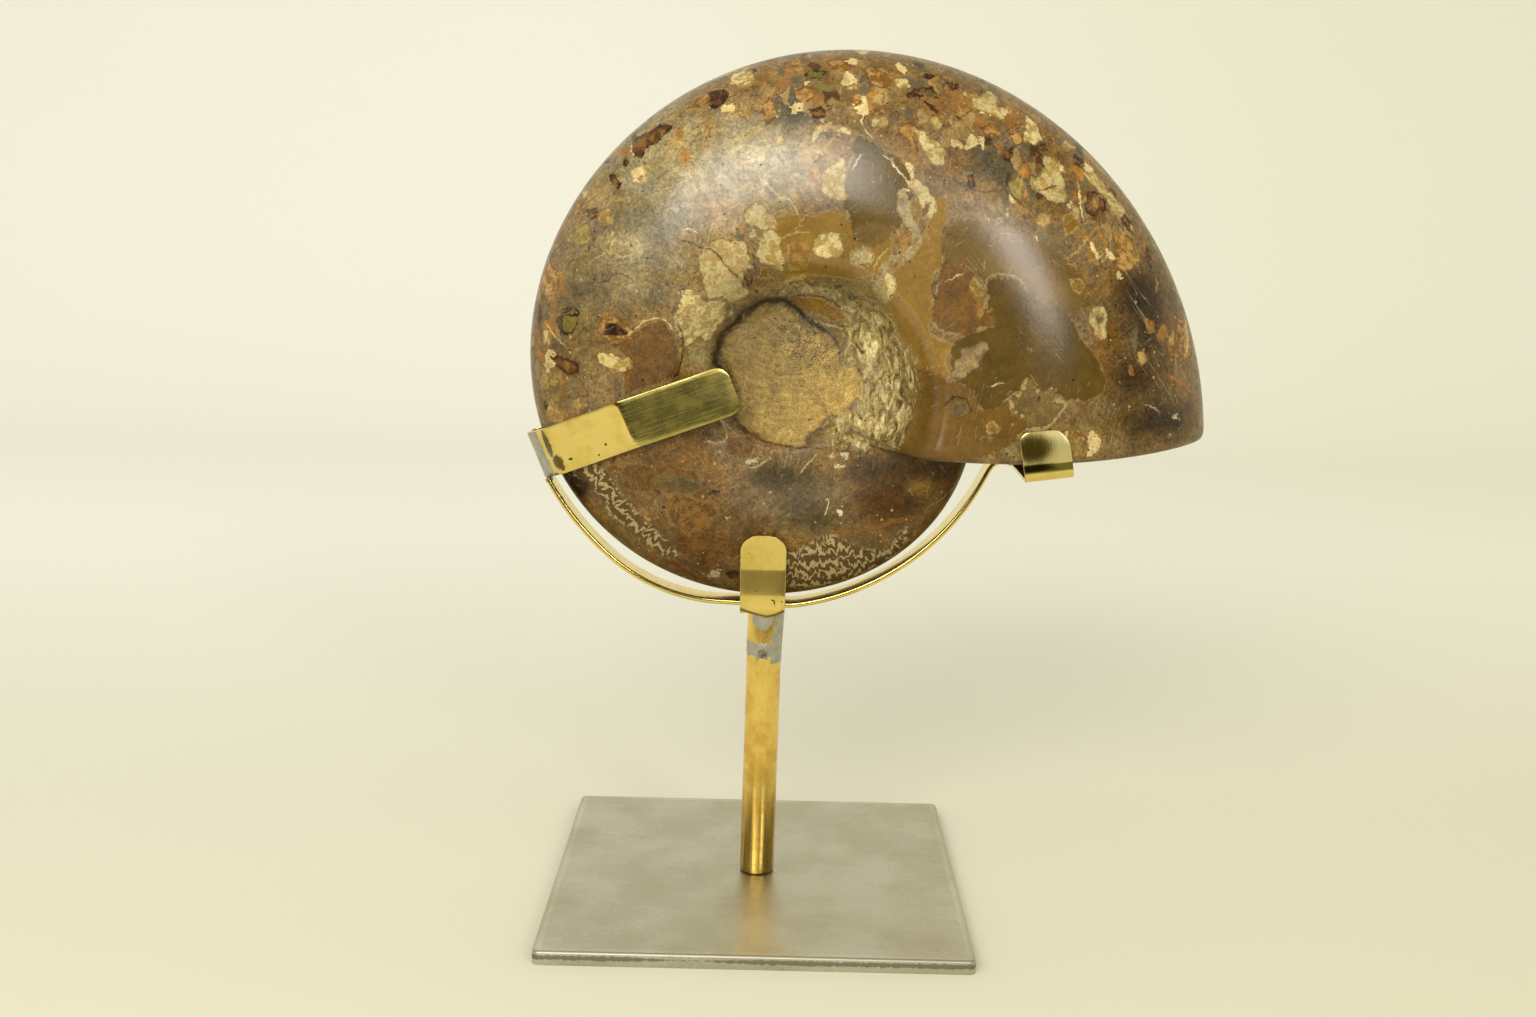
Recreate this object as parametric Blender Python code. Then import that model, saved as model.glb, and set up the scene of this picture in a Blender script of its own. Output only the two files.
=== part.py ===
"""Half of a polished ammonite, held upright in a soldered brass cradle on a steel foot.

Metres, +Z up. The origin is the centre of the foot's underside. The stone's cut face looks along +Y
and its domed, polished face along -Y.

The ammonite follows a logarithmic spiral. A place on it is given by its distance from the spiral's
pole and by the turn, the angle wound back from the broken lip.
"""

import math

import bmesh
import bpy
from mathutils import Vector

# Steel foot
PLATE_SIDE = 0.150
PLATE_THICK = 0.005
PLATE_CORNER = 0.002
PLATE_EDGE = 0.0007

# Brass post, with a turned spigot let into the foot. It leans a little, by this share of its height
POST_RADIUS = 0.00635
POST_LEAN = 0.011
POST_EASE = 0.0003
SPIGOT_RADIUS = 0.004
SPIGOT_DEPTH = 0.003
ROUND_SIDES = 32

# Ammonite half: its spiral
CUT_Y = 0.006
POLE_X = 0.01135
POLE_Z = 0.1886
LIP_RADIUS = 0.1482
LIP_TURN_START = math.radians(-9.0)
GROWTH = 0.1323
OVAL_SHARE, OVAL_ANGLE = 0.0090, math.radians(-5.0)
THREE_LOBE_SHARE, THREE_LOBE_ANGLE = 0.0083, math.radians(110.0)

# Ammonite half: its thickness and its broken lip
HALF_THICK = 0.045
RIDGE_AT = 0.50
LIP_DROP = 0.0145
LIP_BOW = 0.006
LIP_INNER = 0.030
HUB_THICK = 0.0195
HUB_RADIUS = 0.030
HUB_SHOULDER = 0.050

# Cup in the middle of the ammonite
CUP_X = 0.0075
CUP_Z = 0.1950
CUP_RADIUS_X = 0.0260
CUP_RADIUS_Z = 0.0245
CUP_DEPTH = 0.005
CUP_EDGE = 0.16

# Ammonite mesh
TURN_STEPS = 128
FLANK_STEPS = 18
INNER_STEPS = 8

# Brass strips
GAP = 0.0003
STRIP_THICK = 0.0015
STRIP_WIDTH = 0.0165
BEND_RADIUS = 0.0022
REST_GAP = 0.0006

# Cradle band: runs of arcs up from a lowest place on each side, as (radius of the outer face, sweep)
BAND_WIDTH = 0.0120
BAND_THICK = 0.0017
BAND_EDGE = 0.0005
BAND_LEFT_LOW_X, BAND_LEFT_LOW_Z = -0.0133, 0.1094
BAND_LEFT_ARCS = ((0.0655, math.radians(41.0)), (0.105, math.radians(19.7)))
BAND_RIGHT_LOW_X, BAND_RIGHT_LOW_Z = -0.0010, 0.1078
BAND_RIGHT_ARCS = ((0.0902, math.radians(65.07)),)
BAND_JOIN_X = 0.0090
BAND_FOOT_BEND = 0.0035
BAND_LAP = 0.0060
ARC_STEP = math.radians(4.0)

# Clips
# Extra points below are (distance along the clip, y)
BOTTOM_CLIP_REAR = 0.0260
BOTTOM_CLIP_KNEES = ((0.0065, -0.0079), (0.0185, -0.0144))
BOTTOM_CLIP_REST = 0.0080
BOTTOM_CLIP_TOP = 0.0313
BOTTOM_CLIP_CORNER = 0.0065
ARM_ANGLE = math.radians(195.7)
ARM_STANDOFF = 0.0042
ARM_TILT = math.radians(22.3)
ARM_WIDTH = 0.0176
ARM_REAR = 0.0240
ARM_ELBOW_Y = 0.0010
ARM_KNEES = ((0.0085, -0.0112), (0.0375, -0.0254), (0.0630, -0.0252), (0.0770, -0.0236))
ARM_REST = 0.0030
ARM_REST_END = 0.0550
ARM_CORNER = 0.0045
RIGHT_CLIP_X = 0.0965
RIGHT_CLIP_TILT = math.radians(8.0)
RIGHT_CLIP_DROP = 0.0020
RIGHT_CLIP_HEEL = 0.0006
RIGHT_CLIP_KNEE = 0.0036
RIGHT_CLIP_REAR = 0.0200
RIGHT_CLIP_REST = 0.0050
RIGHT_CLIP_TOP = 0.0165
RIGHT_CLIP_CORNER = 0.0030

# Solder
SOLDER_THICK = 0.0006
LEFT_SOLDER_FROM = 0.0008
LEFT_SOLDER_LONG = 0.0085
RIGHT_SOLDER_SECTION = ((0.0, 0.0), (-0.0018, 0.0), (-0.0008, -0.0004), (-0.0003, -0.0008), (0.0, -0.0013))
COLLAR_THICK = 0.0005
COLLAR_TALL = 0.015
COLLAR_EASE = 0.0003
COLLAR_TEETH = ((5, 0.6, 0.0016), (9, 2.0, 0.0011))


def clear_scene():
    for obj in list(bpy.data.objects):
        bpy.data.objects.remove(obj)


def material(name, colour, roughness, metallic):
    made = bpy.data.materials.new(name)
    made.use_nodes = True
    shader = made.node_tree.nodes["Principled BSDF"]
    shader.inputs["Base Color"].default_value = (*colour, 1.0)
    shader.inputs["Roughness"].default_value = roughness
    shader.inputs["Metallic"].default_value = metallic
    return made


def add_object(name, form, surface):
    """Turns a bmesh into a named object with one material, its faces pointing out."""
    bmesh.ops.recalc_face_normals(form, faces=form.faces)
    mesh = bpy.data.meshes.new(name)
    form.to_mesh(mesh)
    form.free()
    mesh.shade_smooth()
    mesh.set_sharp_from_angle(angle=math.radians(35))
    mesh.materials.append(surface)
    obj = bpy.data.objects.new(name, mesh)
    bpy.context.scene.collection.objects.link(obj)
    return obj


# ---------------------------------------------------------------- ammonite


def smooth_step(low, high, value):
    share = min(1.0, max(0.0, (value - low) / (high - low)))
    return share * share * (3.0 - 2.0 * share)


def lip_angle(distance):
    """Polar angle of the broken lip, which runs nearly level from the hub to the tip."""
    drop = LIP_DROP + LIP_BOW * math.sin(math.pi * distance / LIP_RADIUS)
    return -math.asin(drop / max(distance, LIP_INNER))


def outline_radius(angle):
    """The spiral's radius at a polar angle that grows with each turn wound back from the lip."""
    wound = angle - LIP_TURN_START
    oval = OVAL_SHARE * math.cos(2.0 * angle + OVAL_ANGLE)
    three_lobes = THREE_LOBE_SHARE * math.cos(3.0 * angle + THREE_LOBE_ANGLE)
    return LIP_RADIUS * math.exp(-GROWTH * wound) * (1.0 + oval + three_lobes)


def outline_meets(share_of_turn):
    """Where the outline is cut by the lip line wound back by this share of a whole turn."""
    wound = 2.0 * math.pi * share_of_turn
    radius = LIP_RADIUS * math.exp(-GROWTH * wound)
    for _ in range(6):
        radius = outline_radius(lip_angle(radius) + wound)
    return radius


def flank_thickness(distance, angle):
    """Thickness of the whorl over the cut face, before the cup is taken out."""
    edge = outline_radius(angle)
    beyond_ridge = min(1.0, max(0.0, (distance / edge - RIDGE_AT) / (1.0 - RIDGE_AT)))
    crown = HALF_THICK * edge / LIP_RADIUS
    flank = crown * math.sqrt(1.0 - beyond_ridge * beyond_ridge)
    wall = smooth_step(HUB_RADIUS, HUB_SHOULDER, distance)
    return HUB_THICK + (flank - HUB_THICK) * wall


def cup_depth(x, z):
    away = math.hypot((x - CUP_X) / CUP_RADIUS_X, (z - CUP_Z) / CUP_RADIUS_Z)
    return CUP_DEPTH * (1.0 - smooth_step(1.0 - CUP_EDGE, 1.0 + CUP_EDGE, away))


def stone_point(distance, angle):
    x = POLE_X + distance * math.cos(angle)
    z = POLE_Z + distance * math.sin(angle)
    thickness = flank_thickness(distance, angle) - cup_depth(x, z)
    return Vector((x, CUT_Y - thickness, z))


def stone_front(x, z):
    """Depth of the polished face in front of a place on the cut face, or the cut face beside the stone."""
    distance = math.hypot(x - POLE_X, z - POLE_Z)
    angle = math.atan2(z - POLE_Z, x - POLE_X)
    first = lip_angle(distance)
    angle = first + (angle - first) % (2.0 * math.pi)
    if distance >= outline_radius(angle):
        return CUT_Y
    return stone_point(distance, angle).y


def flank_shares():
    """Shares of the outline's radius, close together where the face turns down to the cut."""
    inner = [RIDGE_AT * i / INNER_STEPS for i in range(1, INNER_STEPS + 1)]
    outer_steps = FLANK_STEPS - INNER_STEPS
    quarter = [0.5 * math.pi * i / outer_steps for i in range(1, outer_steps + 1)]
    return inner + [RIDGE_AT + (1.0 - RIDGE_AT) * math.sin(part) for part in quarter]


def build_ammonite(surface):
    form = bmesh.new()
    pole = form.verts.new(stone_point(0.0, lip_angle(0.0)))
    shares = flank_shares()
    rows = []
    for i in range(TURN_STEPS + 1):
        edge = outline_meets(i / TURN_STEPS)
        row = []
        for share in shares:
            distance = share * edge
            angle = lip_angle(distance) + 2.0 * math.pi * i / TURN_STEPS
            point = stone_point(distance, angle)
            if share == shares[-1]:
                point.y = CUT_Y
            row.append(form.verts.new(point))
        rows.append(row)
    for here, after in zip(rows, rows[1:]):
        form.faces.new((pole, here[0], after[0]))
        for j in range(FLANK_STEPS - 1):
            form.faces.new((here[j], here[j + 1], after[j + 1], after[j]))
    # The broken end: a wall from the lip down to the older flank under it
    lip, older = rows[0], rows[-1]
    form.faces.new((pole, older[0], lip[0]))
    for j in range(FLANK_STEPS - 1):
        form.faces.new((lip[j], older[j], older[j + 1], lip[j + 1]))
    # The flat cut face
    form.faces.new([row[-1] for row in rows])
    return add_object("ammonite_half", form, surface)


# ---------------------------------------------------------------- brass strips


def with_bends(path, radius, steps=4):
    """A path of 2-D points with its marked corners turned into arcs. A point is (a, b, bend)."""
    made = []
    for i, (a, b, bend) in enumerate(path):
        here = Vector((a, b))
        if not bend:
            made.append(here)
            continue
        back = (Vector(path[i - 1][:2]) - here).normalized()
        on = (Vector(path[i + 1][:2]) - here).normalized()
        half = 0.5 * back.angle(on)
        reach = radius / math.tan(half)
        start = here + back * reach
        end = here + on * reach
        centre = here + (back + on).normalized() * (radius / math.sin(half))
        first, last = start - centre, end - centre
        swing = first.angle_signed(last)
        for k in range(steps + 1):
            turn = -swing * k / steps
            cos, sin = math.cos(turn), math.sin(turn)
            made.append(centre + Vector((first.x * cos - first.y * sin, first.x * sin + first.y * cos)))
    return made


def rounded_tip(distance, width, corner):
    """Half the strip's width at this distance from its rounded end."""
    if distance >= corner:
        return 0.5 * width
    short = corner - distance
    return 0.5 * width - corner + math.sqrt(max(corner * corner - short * short, 1e-9))


def tip_points(path, corner, steps=5):
    """Adds points close to a path's last one, where the rounded tip narrows."""
    end, before = path[-1], path[-2]
    back = (before - end).normalized()
    kept = [point for point in path[:-1] if (point - end).length > corner * 1.15]
    near = [end + back * corner * (1.0 - math.sin(0.5 * math.pi * i / steps)) for i in range(steps + 1)]
    return kept + near


def sweep(path, across, half_widths, thickness, edge=0.0):
    """A closed strip of rectangular section along a path of 3-D points, with its edges eased if asked."""
    form = bmesh.new()
    rings = []
    for i, point in enumerate(path):
        ahead = path[min(i + 1, len(path) - 1)] - point
        behind = point - path[max(i - 1, 0)]
        along = (ahead.normalized() + behind.normalized()).normalized()
        face = along.cross(across).normalized()
        mitre = 1.0
        if ahead.length and behind.length:
            mitre = 1.0 / max(0.5, math.cos(0.5 * ahead.angle(behind)))
        wide, deep = half_widths[i], 0.5 * thickness * mitre
        corners = ((-1, -1), (1, -1), (1, 1), (-1, 1))
        ring = []
        for p, q in corners:
            if edge:
                eases = ((0.0, edge), (edge, 0.0)) if p * q > 0 else ((edge, 0.0), (0.0, edge))
            else:
                eases = ((0.0, 0.0),)
            for ease_wide, ease_deep in eases:
                place = point + across * p * (wide - ease_wide) + face * q * (deep - ease_deep)
                ring.append(form.verts.new(place))
        rings.append(ring)
    sides = len(rings[0])
    for here, after in zip(rings, rings[1:]):
        for k in range(sides):
            form.faces.new((here[k], here[(k + 1) % sides], after[(k + 1) % sides], after[k]))
    form.faces.new(rings[0])
    form.faces.new(list(reversed(rings[-1])))
    return form


def over_the_stone(origin, axis, start, stop, steps, width):
    """(distance, y) points of a strip's middle that lies on the stone and bridges its hollows."""
    across = Vector((-axis.z, 0.0, axis.x))
    lift = REST_GAP + 0.5 * STRIP_THICK
    resting = []
    for i in range(steps + 1):
        along = start + (stop - start) * i / steps
        fronts = []
        for share in (-0.5, -0.25, 0.0, 0.25, 0.5):
            place = origin + axis * along + across * share * width
            fronts.append(stone_front(place.x, place.z))
        resting.append((along, min(fronts) - lift))
    return resting


def pulled_tight(points):
    """Keeps the points that a strip stretched over them would touch. Lower y is further out."""
    kept = []
    for point in points:
        while len(kept) > 1:
            (a, b), (c, d) = kept[-2], kept[-1]
            if (c - a) * (point[1] - b) - (d - b) * (point[0] - a) > 0.0:
                break
            kept.pop()
        kept.append(point)
    return kept


def clip(name, origin, axis, path, corner, surface, width=STRIP_WIDTH):
    """A clip bent from flat strip: the path is in distance along the axis and depth."""
    across = Vector((-axis.z, 0.0, axis.x))
    flat = [origin + axis * a + Vector((0.0, b, 0.0)) for a, b in path]
    flat = tip_points(flat, corner)
    flat = list(reversed(tip_points(list(reversed(flat)), corner)))
    widths = []
    for point in flat:
        nearest = min((point - flat[0]).length, (point - flat[-1]).length)
        widths.append(rounded_tip(nearest, width, corner))
    return add_object(name, sweep(flat, across, widths, STRIP_THICK), surface)


def rear_leg(tall):
    """The start of each clip's path: down behind the cut face to the bend under the stone."""
    rear_y = CUT_Y + REST_GAP + 0.5 * STRIP_THICK
    return [(tall, rear_y, False), (0.0, rear_y, True)]


def build_bottom_clip(surface):
    floor_z = BAND_RIGHT_LOW_Z - GAP - 0.5 * STRIP_THICK
    origin = Vector((0.0, 0.0, floor_z))
    up = Vector((0.0, 0.0, 1.0))
    resting = over_the_stone(origin, up, BOTTOM_CLIP_REST, BOTTOM_CLIP_TOP, 16, STRIP_WIDTH)
    front_y = -0.5 * BAND_WIDTH - REST_GAP - 0.5 * STRIP_THICK
    tight = pulled_tight(sorted(resting + list(BOTTOM_CLIP_KNEES)))
    path = rear_leg(BOTTOM_CLIP_REAR)
    path += [(0.0, front_y, True)] + [(a, b, False) for a, b in tight]
    return clip("bottom_clip", origin, up, with_bends(path, BEND_RADIUS), BOTTOM_CLIP_CORNER, surface)


def arm_frame():
    """Origin and direction of the left arm: it crosses the outline square to the cradle."""
    out = outline_radius(ARM_ANGLE) + ARM_STANDOFF
    origin = Vector((POLE_X + out * math.cos(ARM_ANGLE), 0.0, POLE_Z + out * math.sin(ARM_ANGLE)))
    return origin, Vector((math.cos(ARM_TILT), 0.0, math.sin(ARM_TILT)))


def arm_path():
    """The left arm from its elbow, beside the stone, over the flank to its tip."""
    origin, axis = arm_frame()
    resting = over_the_stone(origin, axis, ARM_REST, ARM_REST_END, 28, ARM_WIDTH)
    return pulled_tight([(0.0, ARM_ELBOW_Y)] + sorted(resting + list(ARM_KNEES)))


def build_left_arm_clip(surface):
    origin, axis = arm_frame()
    path = rear_leg(ARM_REAR) + [(a, b, False) for a, b in arm_path()]
    return clip("left_arm_clip", origin, axis, with_bends(path, BEND_RADIUS), ARM_CORNER, surface, ARM_WIDTH)


def right_clip_frame():
    """Origin and direction of the right clip: its floor lies under the broken end."""
    distance = RIGHT_CLIP_X - POLE_X
    lip_z = POLE_Z + distance * math.tan(lip_angle(distance))
    axis = Vector((-math.sin(RIGHT_CLIP_TILT), 0.0, math.cos(RIGHT_CLIP_TILT)))
    floor = lip_z - REST_GAP - 0.5 * STRIP_THICK - RIGHT_CLIP_DROP
    return Vector((RIGHT_CLIP_X, 0.0, floor)), axis


def build_right_clip(surface):
    origin, axis = right_clip_frame()
    resting = over_the_stone(origin, axis, RIGHT_CLIP_REST, RIGHT_CLIP_TOP, 10, STRIP_WIDTH)
    outermost = min(b for _, b in resting)
    tight = pulled_tight([(RIGHT_CLIP_KNEE, outermost - RIGHT_CLIP_HEEL)] + resting)
    path = rear_leg(RIGHT_CLIP_REAR)
    path += [(0.0, outermost + RIGHT_CLIP_HEEL, True)] + [(a, b, False) for a, b in tight]
    return clip("right_clip", origin, axis, with_bends(path, BEND_RADIUS), RIGHT_CLIP_CORNER, surface)


def arc_run(start, side, arcs):
    """Points up one side of the cradle's middle line, from its lowest place, and the last slope."""
    points = [start]
    slope = 0.0
    for radius, sweep in arcs:
        reach = radius - 0.5 * BAND_THICK
        here = points[-1]
        steps = max(2, math.ceil(sweep / ARC_STEP))
        for i in range(1, steps + 1):
            rise = slope + sweep * i / steps
            run = reach * (math.sin(rise) - math.sin(slope))
            climb = reach * (math.cos(slope) - math.cos(rise))
            points.append(here + Vector((side * run, 0.0, climb)))
        slope += sweep
    return points, slope


def band_tail(start, slope):
    """The right end runs on straight, then turns in under the stone and laps over the clip's floor."""
    origin, axis = right_clip_frame()
    lap = 0.5 * (STRIP_THICK + BAND_THICK) + GAP
    tilt = RIGHT_CLIP_TILT
    turned = Vector((math.sin(slope) - math.sin(tilt), 0.0, math.cos(tilt) - math.cos(slope)))
    short = (origin + axis * lap - start - turned * BAND_FOOT_BEND).dot(axis)
    straight = Vector((math.cos(slope), 0.0, math.sin(slope)))
    start = start + straight * (short / straight.dot(axis))
    points = [start]
    steps = 5
    for i in range(1, steps + 1):
        rise = slope + (tilt - slope) * i / steps
        run = BAND_FOOT_BEND * (math.sin(slope) - math.sin(rise))
        climb = BAND_FOOT_BEND * (math.cos(rise) - math.cos(slope))
        points.append(start + Vector((run, 0.0, climb)))
    along = Vector((axis.z, 0.0, -axis.x))
    end = origin - along * (0.5 * STRIP_WIDTH - BAND_LAP)
    left_to_go = (end - points[-1]).dot(along)
    points.append(points[-1] + along * left_to_go)
    return points


def build_cradle_band(surface):
    half = 0.5 * BAND_THICK
    left_low = Vector((BAND_LEFT_LOW_X, 0.0, BAND_LEFT_LOW_Z + half))
    right_low = Vector((BAND_RIGHT_LOW_X, 0.0, BAND_RIGHT_LOW_Z + half))
    left, _ = arc_run(left_low, -1, BAND_LEFT_ARCS)
    right, slope = arc_run(right_low, 1, BAND_RIGHT_ARCS)
    right += band_tail(right[-1], slope)
    right = [point for point in right if point.x > BAND_JOIN_X - GAP]
    path = list(reversed(left)) + right
    widths = [0.5 * BAND_WIDTH] * len(path)
    form = sweep(path, Vector((0.0, 1.0, 0.0)), widths, BAND_THICK, BAND_EDGE)
    return add_object("cradle_band", form, surface)


# ---------------------------------------------------------------- foot, post and solder


def build_plate(surface):
    form = bmesh.new()
    bmesh.ops.create_cube(form, size=1.0)
    bmesh.ops.scale(form, vec=(PLATE_SIDE, PLATE_SIDE, PLATE_THICK), verts=form.verts)
    bmesh.ops.translate(form, vec=(0.0, 0.0, 0.5 * PLATE_THICK), verts=form.verts)
    uprights = [e for e in form.edges if abs(e.verts[0].co.z - e.verts[1].co.z) > 0.5 * PLATE_THICK]
    bmesh.ops.bevel(form, geom=uprights, offset=PLATE_CORNER, segments=4, profile=0.5, affect="EDGES")
    rims = [e for e in form.edges if abs(e.verts[0].co.z - e.verts[1].co.z) < 1e-6]
    bmesh.ops.bevel(form, geom=rims, offset=PLATE_EDGE, segments=2, profile=0.5, affect="EDGES")
    plate = add_object("base_plate", form, surface)
    socket = bmesh.new()
    bmesh.ops.create_cone(
        socket,
        cap_ends=True,
        segments=ROUND_SIDES,
        radius1=SPIGOT_RADIUS + GAP,
        radius2=SPIGOT_RADIUS + GAP,
        depth=2.0 * (SPIGOT_DEPTH + GAP),
    )
    bmesh.ops.translate(socket, vec=(0.0, 0.0, PLATE_THICK), verts=socket.verts)
    cutter = add_object("socket_cutter", socket, surface)
    cutter.hide_render = True
    cutter.display_type = "WIRE"
    cut = plate.modifiers.new("Socket", "BOOLEAN")
    cut.operation = "DIFFERENCE"
    cut.object = cutter
    return plate


def leaning(radius, angle, z):
    """A place round the post, whose middle line leans to the right as it rises."""
    middle = POST_LEAN * max(0.0, z - PLATE_THICK)
    return (middle + radius * math.cos(angle), radius * math.sin(angle), z)


def post_top():
    return BAND_RIGHT_LOW_Z - 2.0 * GAP - STRIP_THICK


def build_post(surface):
    foot = PLATE_THICK + GAP
    spigot_end = PLATE_THICK - SPIGOT_DEPTH
    profile = [
        (SPIGOT_RADIUS, spigot_end),
        (SPIGOT_RADIUS, foot),
        (POST_RADIUS - POST_EASE, foot),
        (POST_RADIUS, foot + POST_EASE),
        (POST_RADIUS, post_top() - POST_EASE),
        (POST_RADIUS - POST_EASE, post_top()),
    ]
    form = bmesh.new()
    rings = []
    for radius, z in profile:
        angles = [2.0 * math.pi * i / ROUND_SIDES for i in range(ROUND_SIDES)]
        rings.append([form.verts.new(leaning(radius, angle, z)) for angle in angles])
    for low, high in zip(rings, rings[1:]):
        for i in range(ROUND_SIDES):
            k = (i + 1) % ROUND_SIDES
            form.faces.new((low[i], low[k], high[k], high[i]))
    form.faces.new(list(reversed(rings[0])))
    form.faces.new(rings[-1])
    return add_object("post", form, surface)


def build_post_solder(surface):
    """A collar of solder round the post's head, with a ragged lower edge."""
    inner = POST_RADIUS + GAP
    outer = inner + COLLAR_THICK
    top = post_top() - GAP
    form = bmesh.new()
    rings = []
    for i in range(ROUND_SIDES):
        angle = 2.0 * math.pi * i / ROUND_SIDES
        teeth = sum(tall * math.sin(count * angle + turn) for count, turn, tall in COLLAR_TEETH)
        low = top - COLLAR_TALL + teeth
        section = ((inner, top), (outer, top - COLLAR_EASE), (outer, low + COLLAR_EASE), (inner, low))
        rings.append([form.verts.new(leaning(radius, angle, z)) for radius, z in section])
    for i, here in enumerate(rings):
        after = rings[(i + 1) % ROUND_SIDES]
        for k in range(4):
            form.faces.new((here[k], here[(k + 1) % 4], after[(k + 1) % 4], after[k]))
    return add_object("post_solder", form, surface)


def pad(name, path, across, half_width, surface):
    """A thin cushion of solder laid along a path of 3-D points, thickest in its middle."""
    form = bmesh.new()
    rings = []
    for i, point in enumerate(path):
        ahead = path[min(i + 1, len(path) - 1)] - path[max(i - 1, 0)]
        face = ahead.normalized().cross(across).normalized()
        bulge = math.sin(math.pi * (i + 1) / (len(path) + 1))
        thick = SOLDER_THICK * (0.35 + 0.65 * bulge)
        wide = half_width * (0.85 + 0.15 * bulge)
        ring = [form.verts.new(point + across * wide * part) for part in (-1.0, 0.0, 1.0)]
        for part, share in ((0.85, 0.8), (0.0, 1.0), (-0.85, 0.8)):
            ring.append(form.verts.new(point + across * wide * part + face * thick * share))
        rings.append(ring)
    sides = len(rings[0])
    for here, after in zip(rings, rings[1:]):
        for k in range(sides):
            form.faces.new((here[k], here[(k + 1) % sides], after[(k + 1) % sides], after[k]))
    form.faces.new(rings[0])
    form.faces.new(list(reversed(rings[-1])))
    return add_object(name, form, surface)


def build_left_solder(surface):
    """Solder over the slanted face beside the elbow, where the cradle's left end meets the arm."""
    origin, axis = arm_frame()
    across = Vector((-axis.z, 0.0, axis.x))
    (a, b), (c, d) = arm_path()[:2]
    elbow = origin + axis * a + Vector((0.0, b, 0.0))
    along = (axis * (c - a) + Vector((0.0, d - b, 0.0))).normalized()
    out = along.cross(across).normalized()
    lift = 0.5 * STRIP_THICK + GAP
    start = elbow + out * lift + along * LEFT_SOLDER_FROM
    path = [start + along * LEFT_SOLDER_LONG * i / 6 for i in range(7)]
    return pad("left_solder", path, across, 0.5 * ARM_WIDTH, surface)


def build_right_solder(surface):
    """A bead of solder in the corner under the cradle's flat end, along the right clip's floor."""
    origin, axis = right_clip_frame()
    along = Vector((axis.z, 0.0, -axis.x))
    corner = origin - along * (0.5 * STRIP_WIDTH + GAP) + axis * 0.5 * STRIP_THICK
    form = bmesh.new()
    ends = []
    for side in (-1.0, 1.0):
        depth = Vector((0.0, side * 0.45 * BAND_WIDTH, 0.0))
        ends.append([form.verts.new(corner + depth + along * a + axis * b) for a, b in RIGHT_SOLDER_SECTION])
    near, far = ends
    for i in range(len(near)):
        k = (i + 1) % len(near)
        form.faces.new((near[i], near[k], far[k], far[i]))
    form.faces.new(list(reversed(near)))
    form.faces.new(far)
    return add_object("right_solder", form, surface)


def main():
    clear_scene()
    stone = material("polished_fossil_stone", (0.175, 0.115, 0.055), 0.28, 0.0)
    brass = material("brushed_brass", (0.72, 0.50, 0.17), 0.25, 1.0)
    steel = material("mill_steel", (0.36, 0.35, 0.32), 0.45, 1.0)
    solder = material("soft_solder", (0.42, 0.41, 0.38), 0.55, 1.0)
    build_ammonite(stone)
    build_plate(steel)
    build_post(brass)
    build_cradle_band(brass)
    build_bottom_clip(brass)
    build_left_arm_clip(brass)
    build_right_clip(brass)
    build_post_solder(solder)
    build_left_solder(solder)
    build_right_solder(solder)


main()
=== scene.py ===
"""Half of a polished ammonite in its soldered brass cradle, on a post and a steel foot.

Metres, +Z up. The stone's cut face looks along +Y and its domed, polished face along -Y.
"""

import math

import bmesh
import bpy
import numpy as np
from mathutils import Matrix, Vector, noise
from mathutils.bvhtree import BVHTree


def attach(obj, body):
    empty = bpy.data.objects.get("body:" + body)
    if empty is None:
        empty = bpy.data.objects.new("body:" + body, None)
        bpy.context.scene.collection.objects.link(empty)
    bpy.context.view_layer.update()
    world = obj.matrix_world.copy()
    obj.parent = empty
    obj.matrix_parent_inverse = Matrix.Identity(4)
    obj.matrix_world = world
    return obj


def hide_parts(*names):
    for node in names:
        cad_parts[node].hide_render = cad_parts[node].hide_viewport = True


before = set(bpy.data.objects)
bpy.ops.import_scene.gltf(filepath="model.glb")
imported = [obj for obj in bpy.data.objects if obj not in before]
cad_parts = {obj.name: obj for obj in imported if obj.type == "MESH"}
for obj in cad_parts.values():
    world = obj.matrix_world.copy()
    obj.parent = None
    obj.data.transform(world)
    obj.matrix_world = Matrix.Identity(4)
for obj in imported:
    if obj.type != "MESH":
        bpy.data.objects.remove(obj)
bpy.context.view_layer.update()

# ---------------------------------------------------------------- camera
# A normal lens a little above the stone's middle, looking slightly down on the foot, so that the
# plate's top shows. It is turned a touch, because the stand was not quite square to it.
CAMERA_PLACE = Vector((0.00207, -0.5987, 0.2542))
CAMERA_PITCH = math.radians(10.4)
CAMERA_ROLL = math.radians(1.3)
CAMERA_YAW = math.radians(-0.08)
CAMERA_LENS = 39.07

camera_data = bpy.data.cameras.new("studio_camera")
camera_data.lens = CAMERA_LENS
camera_data.sensor_width = 36.0
camera = bpy.data.objects.new("studio_camera", camera_data)
bpy.context.scene.collection.objects.link(camera)
ahead = Vector((
    math.sin(CAMERA_YAW) * math.cos(CAMERA_PITCH),
    math.cos(CAMERA_YAW) * math.cos(CAMERA_PITCH),
    -math.sin(CAMERA_PITCH),
))
level = Vector((math.cos(CAMERA_YAW), -math.sin(CAMERA_YAW), 0.0))
lift = level.cross(ahead)
right = math.cos(CAMERA_ROLL) * level + math.sin(CAMERA_ROLL) * lift
upward = math.cos(CAMERA_ROLL) * lift - math.sin(CAMERA_ROLL) * level
camera.matrix_world = Matrix.Translation(CAMERA_PLACE) @ Matrix((right, upward, -ahead)).transposed().to_4x4()
bpy.context.scene.camera = camera
bpy.context.scene.view_settings.view_transform = "Standard"

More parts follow.
